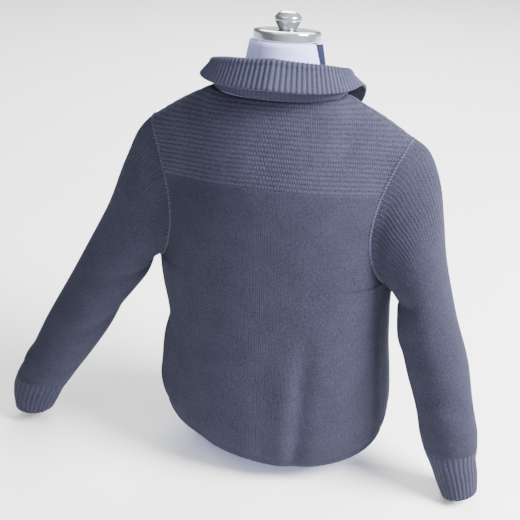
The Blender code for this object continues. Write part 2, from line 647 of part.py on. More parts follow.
def finish(name, look):
    """Plain material of one piece: look holds its colour, roughness and metallic value."""
    material = bpy.data.materials.new(name + "_finish")
    material.use_nodes = True
    shader = material.node_tree.nodes["Principled BSDF"]
    for socket, value in zip(("Base Color", "Roughness", "Metallic"), look):
        shader.inputs[socket].default_value = value
    return material


def make_object(name, mesh, look, collection, smooth=True):
    """Puts a mesh in the scene with its faces pointing out."""
    work = bmesh.new()
    work.from_mesh(mesh)
    bmesh.ops.recalc_face_normals(work, faces=work.faces)
    if work.calc_volume(signed=True) < 0:
        bmesh.ops.reverse_faces(work, faces=work.faces)
    work.to_mesh(mesh)
    work.free()
    mesh.materials.append(finish(name, look))
    if smooth:
        mesh.shade_smooth()
    piece = bpy.data.objects.new(name, mesh)
    collection.objects.link(piece)
    return piece


def cloth_wall(name, points, normals, look, collection, closed=False):
    return make_object(name, wall_mesh(name, points, points - normals * WALL, closed), look, collection)


def make_body(panels, across_seams, collection):
    """Back and fronts: half a seam is taken off every sewn edge, the zip edges are left.

    across_seams gives, for each panel and edge column, the way across the armhole seam.
    """
    below, above = slice(0, ROWS_BELOW + 1), slice(ROWS_BELOW, None)
    for name, (points, normals) in panels.items():
        points = pulled_back(points, False, True)
        sides = pulled_back(points[below].swapaxes(0, 1), name == "back", True)
        points[below] = sides.swapaxes(0, 1)
        for edge, across in across_seams[name]:
            points[above, edge] -= across * SEAM / 2
        cloth_wall(name, points, normals, KNIT, collection)


def make_sleeve(name, rings, normals, across, collection):
    """Sleeve from the armhole seam to the cuff seam."""
    points = pulled_back(rings, False, True)
    points[0] += across * SEAM / 2
    cloth_wall(name, points, normals, KNIT, collection, closed=True)


# ---- ribbed pieces ---------------------------------------------------------------------------------------
def read_loop(loop, count, closed):
    """Reads a broken line of points at count equal steps of its length."""
    line = np.concatenate([loop, loop[:1]]) if closed else loop
    length = np.concatenate([[0.0], np.cumsum(np.linalg.norm(np.diff(line[:, :3], axis=0), axis=1))])
    at = np.linspace(0.0, length[-1], count + 1)[:count] if closed else np.linspace(0.0, length[-1], count)
    return np.stack([np.interp(at, length, line[:, axis]) for axis in range(line.shape[1])], axis=-1)


def make_cuff(name, sleeve_rings, sleeve_normals, side, collection):
    """Ribbed tube from the sleeve's last ring to the open end; every second column is a rib."""
    table = CUFF_LEFT if side > 0 else CUFF_RIGHT
    count = 2 * CUFF_RIBS
    shares = np.linspace(0.0, 1.0, CUFF_ROWS + 1)
    rings = tube_rings(table, shares, count, side)
    loop = read_loop(np.concatenate([sleeve_rings[-1], sleeve_normals[-1]], axis=-1), count, closed=True)
    normals = closed_normals(rings, side)
    rings[0] = loop[:, :3]
    normals[0] = unit(loop[:, 3:])
    relief = RIB_RELIEF * (np.arange(count) % 2)[None, :, None] * smooth_step(shares / 0.15)[:, None, None]
    inner = pulled_back(rings, True, False) - normals * WALL
    outer = pulled_back(rings, True, False) + normals * relief
    make_object(name, wall_mesh(name, outer, inner, closed=True), RIB, collection)


def neckline(panels):
    """Neckline from the left front end round the back to the right front end, cut into rib columns.

    Every point of the panels' own edges is kept, so that the collar follows them exactly.
    """
    parts = []
    for name, columns in neckline_slices():
        steps = COLLAR_STEPS_BACK if name == "back" else COLLAR_STEPS_FRONT
        points, normals = panels[name]
        edge = np.concatenate([points[-1, columns], normals[-1, columns]], axis=-1)
        part = np.arange(steps) / steps
        cut = edge[:-1, None] + (edge[1:] - edge[:-1])[:, None] * part[None, :, None]
        parts.append(cut.reshape(-1, 6))
    return np.concatenate(parts + [edge[-1:]])


def collar_profile(turn):
    """Out and up of each step of the collar, from the neckline over the roll to the free edge.

    The stand leans a little, the roll is half a circle, and the fall is a straight band.
    """
    stand, fall, spread, lean = (column(COLLAR_ROWS, name, "turn", turn)[None, :]
                                 for name in ("stand", "fall", "spread", "lean"))
    up_steps = np.linspace(0.0, 1.0, STAND_STEPS + 1)[:-1, None]
    roll = np.linspace(math.pi, 0.0, ROLL_STEPS + 1)[:, None]
    down_steps = np.linspace(0.0, 1.0, FALL_STEPS + 1)[1:, None]
    out = np.concatenate([lean * up_steps, lean + COLLAR_ROLL * (1.0 + np.cos(roll)) + 0.0 * stand,
                          lean + 2 * COLLAR_ROLL + spread * down_steps])
    up = np.concatenate([stand * up_steps, stand + COLLAR_ROLL * np.sin(roll), stand - fall * down_steps])
    return out, up


def smoothed(directions):
    """Directions averaged with their neighbours, which rounds the corners of a broken line."""
    padded = np.pad(directions, ((3, 3), (0, 0)), mode="edge")
    return unit(sum(padded[step:step + len(directions)] for step in range(7)))


def make_collar(panels, collection):
    """Ribbed collar: a profile carried round the neckline, ribs raised on the face that rolls outwards."""
    base = neckline(panels)
    count = len(base)
    points, shared = base[:, :3], unit(base[:, 3:])
    outwards = smoothed(level_outwards(points))
    turn = np.abs(np.linspace(-1.0, 1.0, count))
    out, up = collar_profile(turn)
    middle = points[None] + outwards[None] * out[..., None] + np.array([0.0, 0.0, 1.0]) * up[..., None]
    face = surface_normals(middle)
    face = face * -np.sign(np.sum(face[1] * outwards, axis=-1).mean())
    relief = RIB_RELIEF * (np.arange(count) % 2)[None, :, None] * np.ones((len(out), 1, 1))
    relief[0] = 0.0
    plain = middle - face * WALL / 2
    ribbed = middle + face * (WALL / 2 + relief)
    # at the neckline the wall stands across the end of the panels' walls
    plain[0] = points
    ribbed[0] = points - shared * WALL
    plain, ribbed = (pulled_back(grid, True, False) for grid in (plain, ribbed))
    make_object("collar", wall_mesh("collar", ribbed, plain), RIB, collection)


# ---- zip -------------------------------------------------------------------------------------------------
def zip_line(panels, front):
    """Rows of a front from the zip's foot up: edge points, the same on the inside, way under the front."""
    points, normals = panels[front]
    start = int(np.searchsorted(points[:, 0, 2], points[0, 0, 2] + ZIP_FOOT))
    rows = slice(start, -1)
    inside = points[rows] - normals[rows] * WALL
    under = unit(inside[:, 1] - inside[:, 0])
    return points[rows, 0], inside[:, 0], under


def make_zip_side(name, panels, front, side, collection):
    """Tape behind the front's edge with one side of the teeth, a section carried up the edge.

    The teeth stand square to the middle plane, and the tape runs in along the inside of the front.
    """
    edge, inside, under = zip_line(panels, front)
    up = unit(np.gradient(inside, axis=0))
    inwards = unit(np.cross(under, up))
    inwards = inwards * np.sign(inwards[:, 1:2])
    level = unit(np.cross([side, 0.0, 0.0], up))
    level = level * np.sign(level[:, 1:2])
    seat = inside + inwards * (SEAM + TAPE_THICKNESS / 2)
    tip = seat - under * (FRONT_EDGE - SEAM / 2)
    tip[:, 0] = side * np.maximum(np.abs(inside[:, 0]) - FRONT_EDGE + SEAM / 2, SEAM / 2)
    out = np.array([side, 0.0, 0.0])
    far = seat + under * (TAPE_WIDTH - FRONT_EDGE)
    rings = [tip - level * TEETH_THICKNESS / 2,
             tip - level * TEETH_THICKNESS / 2 + out * TEETH_WIDTH,
             tip - level * TAPE_THICKNESS / 2 + out * TEETH_WIDTH,
             far - inwards * TAPE_THICKNESS / 2,
             far + inwards * TAPE_THICKNESS / 2,
             tip + level * TAPE_THICKNESS / 2 + out * TEETH_WIDTH,
             tip + level * TEETH_THICKNESS / 2 + out * TEETH_WIDTH,
             tip + level * TEETH_THICKNESS / 2]
    make_object(name, tube_mesh(name, np.stack(rings, axis=1)), TAPE, collection, smooth=False)


def tube_mesh(name, rings):
    """Solid bar through rings of points, closed by a face at each end."""
    rows, columns = rings.shape[:2]
    number = np.arange(rows * columns).reshape(rows, columns)
    wrapped = np.concatenate([number, number[:, :1]], axis=1)
    corner = (wrapped[:-1, :-1], wrapped[:-1, 1:], wrapped[1:, 1:], wrapped[1:, :-1])
    faces = np.stack(corner, axis=-1).reshape(-1, 4).tolist()
    faces += [number[0, ::-1].tolist(), number[-1].tolist()]
    mesh = bpy.data.meshes.new(name)
    mesh.from_pydata(rings.reshape(-1, 3).tolist(), [], faces)
    return mesh


# ---- hard pieces of the zip --------------------------------------------------------------------------------
def block(size, centre):
    """Box as a bmesh, size and centre in the slider's own frame."""
    work = bmesh.new()
    bmesh.ops.create_cube(work, size=1.0, matrix=Matrix.Translation(centre) @ Matrix.Diagonal((*size, 1.0)))
    return work


def rod(radius, length, segments):
    """Cylinder along X round the origin, as a bmesh."""
    work = bmesh.new()
    bmesh.ops.create_cone(work, cap_ends=True, segments=segments, radius1=radius, radius2=radius,
                          depth=length, matrix=Matrix.Rotation(math.pi / 2, 4, "Y"))
    return work


def combined(name, first, steps, collection, look):
    """Applies Booleans to a first shape: steps are (operation, shape) pairs."""
    def as_object(work):
        mesh = bpy.data.meshes.new(name)
        work.to_mesh(mesh)
        work.free()
        piece = bpy.data.objects.new(name, mesh)
        collection.objects.link(piece)
        return piece

    base = as_object(first)
    helpers = []
    for operation, shape in steps:
        helper = as_object(shape)
        cut = base.modifiers.new(operation, "BOOLEAN")
        cut.operation = operation
        cut.object = helper
        helpers.append(helper)
    bpy.context.view_layer.update()
    graph = bpy.context.evaluated_depsgraph_get()
    mesh = bpy.data.meshes.new_from_object(base.evaluated_get(graph))
    for used in [base] + helpers:
        bpy.data.objects.remove(used, do_unlink=True)
    return make_object(name, mesh, look, collection, smooth=False)


def slider_place(panels):
    """Place of the slider on the teeth, and its lean back with the chest."""
    points, _, _ = zip_line(panels, "front_left")
    at = int(np.searchsorted(points[:, 2], ZIP_OPEN_HEIGHT - SLIDER_LENGTH))
    edge = points[at - 1] + (points[at] - points[at - 1]) * (
        (ZIP_OPEN_HEIGHT - SLIDER_LENGTH - points[at - 1, 2]) / (points[at, 2] - points[at - 1, 2]))
    along = unit(points[at] - points[at - 1])
    lean = math.atan2(-along[1], along[2])
    sunk = WALL + TAPE_THICKNESS / 2 - TEETH_THICKNESS / 2 - 2 * SEAM
    return Vector((0.0, edge[1] + sunk, edge[2])), lean


def make_slider(panels, collection):
    """Slider with two lugs and a pin, and the pull tab that hangs from the pin.

    In the slider's own frame its back lies at y = 0 on the teeth, and its face at -SLIDER_THICKNESS.
    """
    place, lean = slider_place(panels)
    turned = Matrix.Rotation(lean, 4, "X")
    pin = Vector((0.0, -SLIDER_THICKNESS - PIN_STAND_OFF, SLIDER_LENGTH * 0.22))
    lug_depth = PIN_STAND_OFF + 2 * PIN_RADIUS
    plate = block((SLIDER_WIDTH, SLIDER_THICKNESS, SLIDER_LENGTH), (0.0, -SLIDER_THICKNESS / 2, 0.0))
    bmesh.ops.bevel(plate, geom=plate.edges[:], offset=0.0006, segments=1, affect="EDGES")
    steps = []
    for side in (-1, 1):
        lug = block((LUG_WIDTH, lug_depth, 0.0030),
                    (side * LUG_SPACING / 2, -SLIDER_THICKNESS - lug_depth / 2 + 0.0003, pin.z))
        steps.append(("UNION", lug))
    pin_rod = rod(PIN_RADIUS, LUG_SPACING, 12)
    bmesh.ops.translate(pin_rod, verts=pin_rod.verts, vec=pin)
    steps.append(("UNION", pin_rod))
    slider = combined("zip_slider", plate, steps, collection, NICKEL)
    slider.location = place
    slider.rotation_euler = (lean, 0.0, 0.0)

    eye_outer = TAB_EYE_RADIUS + TAB_EYE_WALL
    eye_length = LUG_SPACING - LUG_WIDTH - 2 * SEAM
    eye = rod(eye_outer, eye_length, 20)
    start = TAB_EYE_RADIUS + TAB_EYE_WALL / 2
    neck = block((eye_length, TAB_THICKNESS, 0.006), (0.0, 0.0, -start - 0.003))
    blade_length = TAB_LENGTH - 0.006
    blade = block((TAB_WIDTH, TAB_THICKNESS, blade_length), (0.0, 0.0, -0.006 - blade_length / 2))
    upright = [edge for edge in blade.edges
               if abs(edge.verts[0].co.y - edge.verts[1].co.y) > TAB_THICKNESS / 2]
    bmesh.ops.bevel(blade, geom=upright, offset=0.0018, segments=3, affect="EDGES")
    hole = rod(TAB_EYE_RADIUS, 2 * eye_length, 20)
    steps = [("UNION", neck), ("UNION", blade), ("DIFFERENCE", hole)]
    tab = combined("zip_pull", eye, steps, collection, NICKEL)
    tab.location = place + turned @ pin
    tab.rotation_euler = (lean, 0.0, 0.0)


# ---- dress form ------------------------------------------------------------------------------------------
def form_grid():
    """Shares and levels of the form's own coarser grid."""
    neck = np.linspace(0.0, NECK_SHARE, FORM_COLUMNS_NECK + 1)
    shoulder = np.linspace(NECK_SHARE, 1.0, FORM_COLUMNS_SHOULDER + 1)[1:]
    low = np.linspace(0.0, 1.0, FORM_ROWS_BELOW + 1)
    high = 1.0 + np.linspace(0.0, 1.0, FORM_ROWS_ARMHOLE + 1)[1:]
    return np.concatenate([neck, shoulder]), np.concatenate([low, high])


def form_half(panel):
    """Cloth's base shape over half the form, with a flatter armhole and no opening, and its normals."""
    shares, levels = form_grid()
    points = panel_surface(shares, levels, panel, opening=False, bow_share=FORM_BOW_SHARE)
    normals = surface_normals(points)
    return points, normals if panel == "front" else -normals


def form_rings():
    """Closed rings from the lowest cloth ring to the shoulders, and the loop round the neck."""
    back, back_normals = form_half("back")
    front, front_normals = form_half("front")
    shares, levels = form_grid()
    side, neck_end = slice(0, FORM_ROWS_BELOW + 1), FORM_COLUMNS_NECK
    shared = unit(back_normals[side, -1] + front_normals[side, -1])
    back_normals[side, -1] = front_normals[side, -1] = shared
    shared = unit(back_normals[-1, neck_end:] + front_normals[-1, neck_end:])
    back_normals[-1, neck_end:] = front_normals[-1, neck_end:] = shared
    heights = HEM_HEIGHT + (PIT_HEIGHT - HEM_HEIGHT) * np.clip(levels, 0.0, 1.0) ** 1.35
    low_ease = column(FORM_EASE, "ease", "height", heights)[:, None]
    turn = smooth_step(levels - 1.0)[:, None]
    least = FORM_CLEARANCE + FORM_NECK_EASE * (1.0 - smooth_step(shares / NECK_SHARE))[None, :]
    move = (WALL + low_ease * (1.0 - turn) + least * turn)[..., None]
    back, front = back - back_normals * move, front - front_normals * move
    back[:, 0, 0] = front[:, 0, 0] = 0.0
    middle = (back[:, -1:] + front[:, -1:]) / 2
    half = np.concatenate([back, middle, front[:, ::-1]], axis=1)
    rings = np.concatenate([half, mirrored(half[:, -2:0:-1])], axis=1)
    neck = np.concatenate([back[-1, :neck_end + 1], front[-1, neck_end - 1::-1]])
    return rings, np.concatenate([neck, mirrored(neck[-2:0:-1])])


def make_form(collection):
    """Torso and neck of the dress form as one closed solid."""
    rings, loop = form_rings()
    foot = np.stack([rings[0] * [share, share, 0.0] + [0.0, 0.0, height] for height, share in FORM_FOOT])
    body = np.concatenate([foot, rings])
    angle = np.arange(len(loop)) / len(loop) * 2 * math.pi
    neck = [loop]
    for row in NECK_ROWS:
        across, behind = row.half_width * np.sin(angle), row.half_depth * np.cos(angle)
        rise = behind * math.tan(math.radians(NECK_TILT)) * row.share
        oval = np.stack([across, behind - row.forward, row.height + rise], axis=-1)
        blend = smooth_step((row.share + 0.35) / 1.1)
        neck.append(loop * (1.0 - blend) + oval * blend)
    neck = np.stack(neck)
    work = bmesh.new()
    grids = []
    for grid in (body, neck):
        grids.append([[work.verts.new(point) for point in row] for row in grid.tolist()])
    for grid in grids:
        for low, high in zip(grid[:-1], grid[1:]):
            for step in range(len(low)):
                after = (step + 1) % len(low)
                work.faces.new((low[step], low[after], high[after], high[step]))
    work.faces.new(grids[0][0])
    work.faces.new(grids[1][-1])
    bmesh.ops.remove_doubles(work, verts=work.verts, dist=0.00002)
    bmesh.ops.dissolve_degenerate(work, edges=work.edges, dist=0.00002)
    mesh = bpy.data.meshes.new("form_torso")
    work.to_mesh(mesh)
    work.free()
    make_object("form_torso", mesh, LINEN, collection)


def make_turned(name, profile, lift, collection):
    """Turned chrome piece on the neck's leaning top: a profile run round by a Screw modifier."""
    mesh = bpy.data.meshes.new(name)
    mesh.from_pydata([(radius, 0.0, height) for radius, height in profile],
                     [(step, step + 1) for step in range(len(profile) - 1)], [])
    mesh.materials.append(finish(name, CHROME))
    piece = bpy.data.objects.new(name, mesh)
    collection.objects.link(piece)
    screw = piece.modifiers.new("turn", "SCREW")
    screw.steps = screw.render_steps = TURNED_STEPS
    screw.use_merge_vertices = True
    screw.merge_threshold = 0.00001
    screw.use_smooth_shade = True
    tilt = math.radians(NECK_TILT)
    top = NECK_ROWS[-1]
    piece.location = (0.0, -top.forward - math.sin(tilt) * lift, top.height + math.cos(tilt) * lift)
    piece.rotation_euler = (tilt, 0.0, 0.0)


def main():
    for old in list(bpy.data.objects):
        bpy.data.objects.remove(old, do_unlink=True)
    collection = bpy.data.collections.new("zip_up_sweater")
    bpy.context.scene.collection.children.link(collection)

    panels = body_panels()
    across_seams = {name: [] for name in panels}
    turns = np.arange(ROWS_ARMHOLE + 1)
    for side, word in ((1, "left"), (-1, "right")):
        rings, normals, across = sleeve_surface(panels, side)
        for name, edge in (("back", -1 if side > 0 else 0), ("front_%s" % word, -1)):
            order = turns if name == "back" else -turns
            panels[name][1][ROWS_BELOW:, edge] = normals[0][order]
            across_seams[name].append((edge, across[order]))
        make_sleeve("sleeve_%s" % word, rings, normals, across, collection)
        make_cuff("cuff_%s" % word, rings, normals, side, collection)
    make_body(panels, across_seams, collection)
    make_collar(panels, collection)
    for side, word in ((1, "left"), (-1, "right")):
        make_zip_side("zip_%s" % word, panels, "front_%s" % word, side, collection)
    make_slider(panels, collection)
    make_form(collection)
    make_turned("neck_cap", CAP_PROFILE, SEAM, collection)
    make_turned("neck_knob", KNOB_PROFILE, 2 * SEAM + CAP_PROFILE[0][1], collection)


main()
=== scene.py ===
"""Looks of the zip-up sweater on its dress form: the knit, ribs, seams, zip and form over the CAD frame.

Z is up, in metres, with z = 0 at the form's underside.  The sweater's front faces -Y and the wearer's
left is at +X.  The cloth follows the same tables as the CAD walls, on grids fine enough to carry the
stitch columns, the purl rows and the ribs.
"""

import math
from collections import namedtuple

import bmesh
import bpy
import numpy as np
from mathutils import Matrix, Vector


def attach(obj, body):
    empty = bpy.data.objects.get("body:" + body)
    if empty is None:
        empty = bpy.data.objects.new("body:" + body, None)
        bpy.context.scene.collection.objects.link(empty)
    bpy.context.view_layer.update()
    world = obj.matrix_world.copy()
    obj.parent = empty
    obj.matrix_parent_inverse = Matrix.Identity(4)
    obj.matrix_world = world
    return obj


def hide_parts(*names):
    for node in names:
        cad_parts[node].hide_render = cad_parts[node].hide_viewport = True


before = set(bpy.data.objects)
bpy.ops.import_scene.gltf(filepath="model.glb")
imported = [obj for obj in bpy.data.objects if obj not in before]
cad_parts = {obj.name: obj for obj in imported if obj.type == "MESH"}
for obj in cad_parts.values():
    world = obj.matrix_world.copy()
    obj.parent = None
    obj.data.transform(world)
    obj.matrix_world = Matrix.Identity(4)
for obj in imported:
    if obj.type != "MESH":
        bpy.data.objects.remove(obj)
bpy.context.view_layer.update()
BODY = "sweater_and_form"


def rows_of(fields, *rows):
    """Table whose rows have these named fields."""
    kind = namedtuple("Row", fields)
    return tuple(kind(*row) for row in rows)


# ---- cloth ----
WALL = 0.003                 # thickness of the chunky knit
SEAM = 0.0003                # space between the walls of two pieces at a seam
RIB_RELIEF = 0.0010          # height of a rib of the collar over its furrow

# ---- body of the sweater ----
HEM_HEIGHT = 0.026           # turned-in lower edge at its lowest place
HEM_LOWEST = -0.055          # that place, across from the middle of the back
HEM_LIFT = 0.057             # the sides of the hem ride this much higher
HEM_BAND = 0.160             # the lift dies out this far up
ROW_CROWDING = 1.35          # how much closer the rows are at the hem than at the armpits
PIT_HEIGHT = 0.385           # bottom of the armholes
RING_POWER = 2.3             # squareness of the level rings
SIDE_SEAM_ANGLE = 18.0       # degrees behind the widest place, where the side seams run
FRONT_EDGE = 0.0080          # from the middle to the edge of a front, zip closed

BODY_ROWS = rows_of("height half_width back_depth front_depth",
    (0.026, 0.172, 0.116, 0.110),
    (0.033, 0.190, 0.130, 0.122),
    (0.055, 0.203, 0.141, 0.132),
    (0.095, 0.208, 0.147, 0.137),
    (0.160, 0.206, 0.147, 0.136),
    (0.270, 0.199, 0.141, 0.130),
    (0.385, 0.203, 0.138, 0.127),
    (0.450, 0.203, 0.143, 0.131),
)
BACK_MIDDLE = rows_of("height depth",
    (0.270, 0.141),
    (0.385, 0.138),
    (0.450, 0.143),
    (0.520, 0.142),
    (0.585, 0.130),
    (0.640, 0.109),
    (0.684, 0.086),
)
FRONT_MIDDLE = rows_of("height depth",
    (0.270, -0.130),
    (0.385, -0.127),
    (0.450, -0.131),
    (0.520, -0.130),
    (0.565, -0.125),
    (0.600, -0.117),
)

# ---- armholes, shoulders and neckline ----
SHOULDER_TIP = (0.210, 0.026, 0.620)
NECK_POINT = (0.103, 0.034, 0.687)       # where the shoulder seam meets the neckline
SHOULDER_CROWN = 0.004                   # rise of the shoulder seam over a straight line
ARMHOLE_REACH = {"back": 0.046, "front": -0.105}   # the armhole bows this far back of its ends
ARMHOLE_INSET = {"back": 0.011, "front": 0.017}    # and cuts this far in from the ring of the armpits
ARMHOLE_EDGE_ANGLE = 38.0                # degrees on the ring where a row meets the armhole
ZIP_OPEN_HEIGHT = 0.540                  # the zip is closed up to here
NECK_OPENING = 0.040                     # half the spread of the fronts at the neckline
NECK_MIDDLE = (0.0, -0.010, 0.0)         # axis of the neck hole
NECK_SHARE = 0.56                        # share of the top row that is neckline
TOP_RISE_POWER = 1.7                     # how late the rows rise to the shoulder and neckline
CORNER_SOFTNESS = 0.22                   # how far down the rows the neck points' corners are rounded

# ---- grid of the panels ----
WALE = 0.0038                # a column of stitches, two columns of the grid
COURSE = 0.00705             # a purl row of the yoke, four rows of the grid
YOKE_FROM = PIT_HEIGHT + 24.5 * COURSE
YOKE_DROOP = 0.52            # the courses droop this much times the square of the way across
YOKE_FADE = 0.004            # the plain knit turns into purl rows over this height
ROWS_BELOW = 46              # rows of the grid up to the armpits' level
PLAIN_RISES = 46 / 88        # share of the way up over which the upper rows are coarse, then fine
UPPER_RISES = np.concatenate([np.linspace(0.0, PLAIN_RISES, 47)[:-1], np.linspace(PLAIN_RISES, 1.0, 85)])
COLUMN_KEEPING = {"back": 2.0, "front": 1.4}   # how long the columns keep straight up over the armpits
ARMHOLE_CROWDING = 1.15      # how far the sleeve's own angles run ahead of the armhole's turns
COLUMNS_NECK = 72
COLUMNS_SHOULDER = 56
RELAX_BELOW = 5              # rows under and over the armpits' level in which the cloth is rounded
RELAX_ABOVE = 14
RELAX_STEPS = 40
EASE_STEPS = 5               # rows over which a seam's direction dies out in the cloth
WALE_RELIEF = 0.0008         # height of the stitch columns
COURSE_RELIEF = 0.0006       # and of the purl rows
SETTLED_DEPTH = 0.0012       # slow swells of the worn cloth, each wave's pace along X, Y, Z and its start
SWELLS = ((31.0, 9.0, 17.0, 0.0), (-19.0, 23.0, 26.0, 1.7), (12.0, -33.0, 41.0, 3.4))
STITCH_HEIGHT = 0.0029

# ---- largest folds: height and place on the panel, share across from the middle to the side ----
FOLDS = rows_of("panel side across low high width depth lean",
    ("back", -1, 0.33, 0.04, 0.33, 0.016, -0.0050, 0.05),
    ("back", -1, 0.20, 0.05, 0.30, 0.022, 0.0030, 0.04),
    ("back", +1, 0.80, 0.10, 0.36, 0.014, -0.0060, -0.04),
    ("back", +1, 0.52, 0.05, 0.22, 0.022, -0.0030, 0.08),
    ("front", -1, 0.46, 0.06, 0.34, 0.018, -0.0045, 0.06),
    ("front", +1, 0.58, 0.05, 0.32, 0.018, -0.0050, -0.05),
)
PINCHES = rows_of("side height reach depth",
    (+1, 0.275, 0.040, -0.0110),
    (+1, 0.098, 0.020, -0.0060),
    (-1, 0.330, 0.045, -0.0050),
)

# ---- sleeves: the line under the arm and the line over it, both on the sleeve's outer face ----
TUBE = "share under over half_depth"   # columns of the tables of sleeves and cuffs
SLEEVE_RIGHT = rows_of(TUBE,
    (0.00, (0.194, 0.050, 0.385), SHOULDER_TIP, 0.075),
    (0.07, (0.203, 0.050, 0.381), (0.234, 0.022, 0.600), 0.075),
    (0.15, (0.209, 0.050, 0.372), (0.256, 0.025, 0.554), 0.072),
    (0.25, (0.213, 0.050, 0.355), (0.271, 0.030, 0.492), 0.067),
    (0.36, (0.214, 0.051, 0.330), (0.286, 0.036, 0.422), 0.060),
    (0.50, (0.219, 0.054, 0.283), (0.308, 0.045, 0.343), 0.054),
    (0.65, (0.242, 0.060, 0.222), (0.336, 0.055, 0.262), 0.051),
    (0.80, (0.263, 0.068, 0.160), (0.354, 0.065, 0.188), 0.049),
    (0.92, (0.275, 0.075, 0.112), (0.368, 0.074, 0.130), 0.047),
    (1.00, (0.284, 0.080, 0.086), (0.373, 0.079, 0.102), 0.043),
)
SLEEVE_LEFT = rows_of(TUBE,
    (0.00, (0.194, 0.050, 0.385), SHOULDER_TIP, 0.075),
    (0.07, (0.204, 0.049, 0.382), (0.237, 0.020, 0.590), 0.076),
    (0.15, (0.211, 0.047, 0.373), (0.260, 0.020, 0.540), 0.074),
    (0.25, (0.217, 0.043, 0.357), (0.288, 0.020, 0.468), 0.068),
    (0.36, (0.229, 0.038, 0.330), (0.325, 0.022, 0.395), 0.060),
    (0.50, (0.266, 0.037, 0.276), (0.370, 0.030, 0.312), 0.054),
    (0.65, (0.309, 0.041, 0.205), (0.418, 0.037, 0.226), 0.051),
    (0.80, (0.350, 0.048, 0.141), (0.455, 0.045, 0.150), 0.049),
    (0.92, (0.374, 0.052, 0.106), (0.477, 0.050, 0.112), 0.047),
    (1.00, (0.386, 0.054, 0.088), (0.486, 0.053, 0.094), 0.043),
)
CUFF_RIGHT = rows_of(TUBE,
    (0.00, (0.284, 0.080, 0.086), (0.373, 0.079, 0.102), 0.043),
    (0.18, (0.292, 0.082, 0.072), (0.372, 0.081, 0.088), 0.039),
    (0.60, (0.308, 0.086, 0.038), (0.378, 0.086, 0.054), 0.036),
    (1.00, (0.322, 0.090, 0.007), (0.382, 0.090, 0.022), 0.035),
)
CUFF_LEFT = rows_of(TUBE,
    (0.00, (0.386, 0.054, 0.088), (0.486, 0.053, 0.094), 0.043),
    (0.18, (0.394, 0.055, 0.077), (0.491, 0.054, 0.080), 0.040),
    (0.60, (0.408, 0.057, 0.052), (0.495, 0.056, 0.054), 0.038),
    (1.00, (0.421, 0.059, 0.026), (0.492, 0.059, 0.027), 0.037),
)
SLEEVE_ROWS = 120
SLEEVE_CROWDING = 1.1        # how much closer the rows are at the armhole than at the cuff
SLEEVE_COLUMNS = 240
CAP_COLUMNS = 3              # grid columns in each broad ridge that leaves the armhole
CAP_RELIEF = 0.0019
SLEEVE_SET_SHARE = 0.42      # over this share the sleeve leaves the armhole's own outline
SLEEVE_CLEARANCE = 0.006     # a sleeve that hangs along the side keeps this far off it
SLEEVE_CLEAR_ABOVE = 0.035   # and begins to do so this far over the armpit
SLEEVE_SOFTNESS = 0.004      # roundness of the place where it is pressed flat
CUFF_ROWS = 40
CUFF_RIBS = 30
CUFF_POINTS_PER_RIB = 6
CUFF_RELIEF = 0.0009
RIB_PITCH = 0.0072
WRINKLES = rows_of("sleeve share turn width depth slope",
    (-1, 0.32, -40.0, 0.045, -0.0045, 0.10),
    (-1, 0.55, -70.0, 0.055, -0.0028, -0.08),
    (-1, 0.84, 20.0, 0.035, 0.0035, 0.08),
    (+1, 0.36, -40.0, 0.045, -0.0045, 0.12),
    (+1, 0.60, -50.0, 0.045, -0.0045, 0.08),
    (+1, 0.85, 60.0, 0.035, 0.0040, -0.08),
)

# ---- collar: a ribbed band that stands, rolls over and falls outwards ----
COLLAR_STEPS = 3             # collar columns in each step of the neckline
COLLAR_POINTS_PER_RIB = 10
COLLAR_ROLL = 0.0060         # radius of the roll at the top
STAND_STEPS = 12
ROLL_STEPS = 14
FALL_STEPS = 10
COLLAR_SMOOTHING = 14        # neighbours on each side in the mean of the collar's outward directions
COLLAR_ROWS = rows_of("turn stand fall spread lean",  # turn 0 is the middle of the back, 1 a front end
    (0.00, 0.058, 0.032, 0.024, -0.004),
    (0.25, 0.048, 0.029, 0.018, -0.008),
    (0.50, 0.034, 0.018, 0.016, -0.006),
    (0.62, 0.030, 0.014, 0.020, -0.003),
    (0.80, 0.024, 0.020, 0.022, 0.002),
    (1.00, 0.018, 0.030, 0.024, 0.006),
)

# ---- seams ----
CORD_HALF_WIDTH = 0.0025     # raised cord of an armhole seam
CORD_HALF_HEIGHT = 0.0015
CORD_LIFT = 0.0004
CORD_STEP = 0.0012
CORD_SIDES = 12
CORD_SWELL = 0.05            # share by which each oversewn stitch swells the cord
OVERSEWN_PITCH = 0.0048

# ---- zip ----
TAPE_WIDTH = 0.018
TAPE_THICKNESS = 0.0010
TEETH_WIDTH = 0.0028         # one side of the row of teeth
ZIP_FOOT = 0.012             # the tape stops this far over the hem row
ZIP_HEAD = 0.004             # and this far under the neckline
ZIP_STEP = 0.0013
TOOTH_PITCH = 0.0026         # on one side; the other side's teeth stand between them
TOOTH_SIDES = 10
TAPE_COLUMNS = 9

# ---- dress form ----
FORM_CLEARANCE = 0.0004      # under the shoulder seams, where the sweater rests
FORM_NECK_EASE = 0.012       # more of it at the neckline, front and back
FORM_BOW_SHARE = 0.55        # the form's armhole bows this share of the cloth's
FORM_ROWS_BELOW = 24
FORM_ROWS_ARMHOLE = 32
FORM_COLUMNS_NECK = 18
FORM_COLUMNS_SHOULDER = 14
FORM_NECK_ROWS = 24
THROAT_ABOVE = 0.560         # over this height and before this depth the neck is smoothed into the chest
THROAT_BEFORE = -0.030
THROAT_STEPS = 16
NECK_TOP_HEIGHT = 0.750
NECK_TILT = 10.0             # degrees, the neck's top leans forward
FORM_FOOT = ((0.000, 0.70), (0.007, 0.80), (0.018, 0.91))   # height, share of the lowest cloth ring
CAP_PROFILE = ((0.0, 0.0170), (0.0480, 0.0170), (0.0525, 0.0155), (0.0535, 0.0130), (0.0535, 0.0012),
               (0.0525, 0.0), (0.0, 0.0))
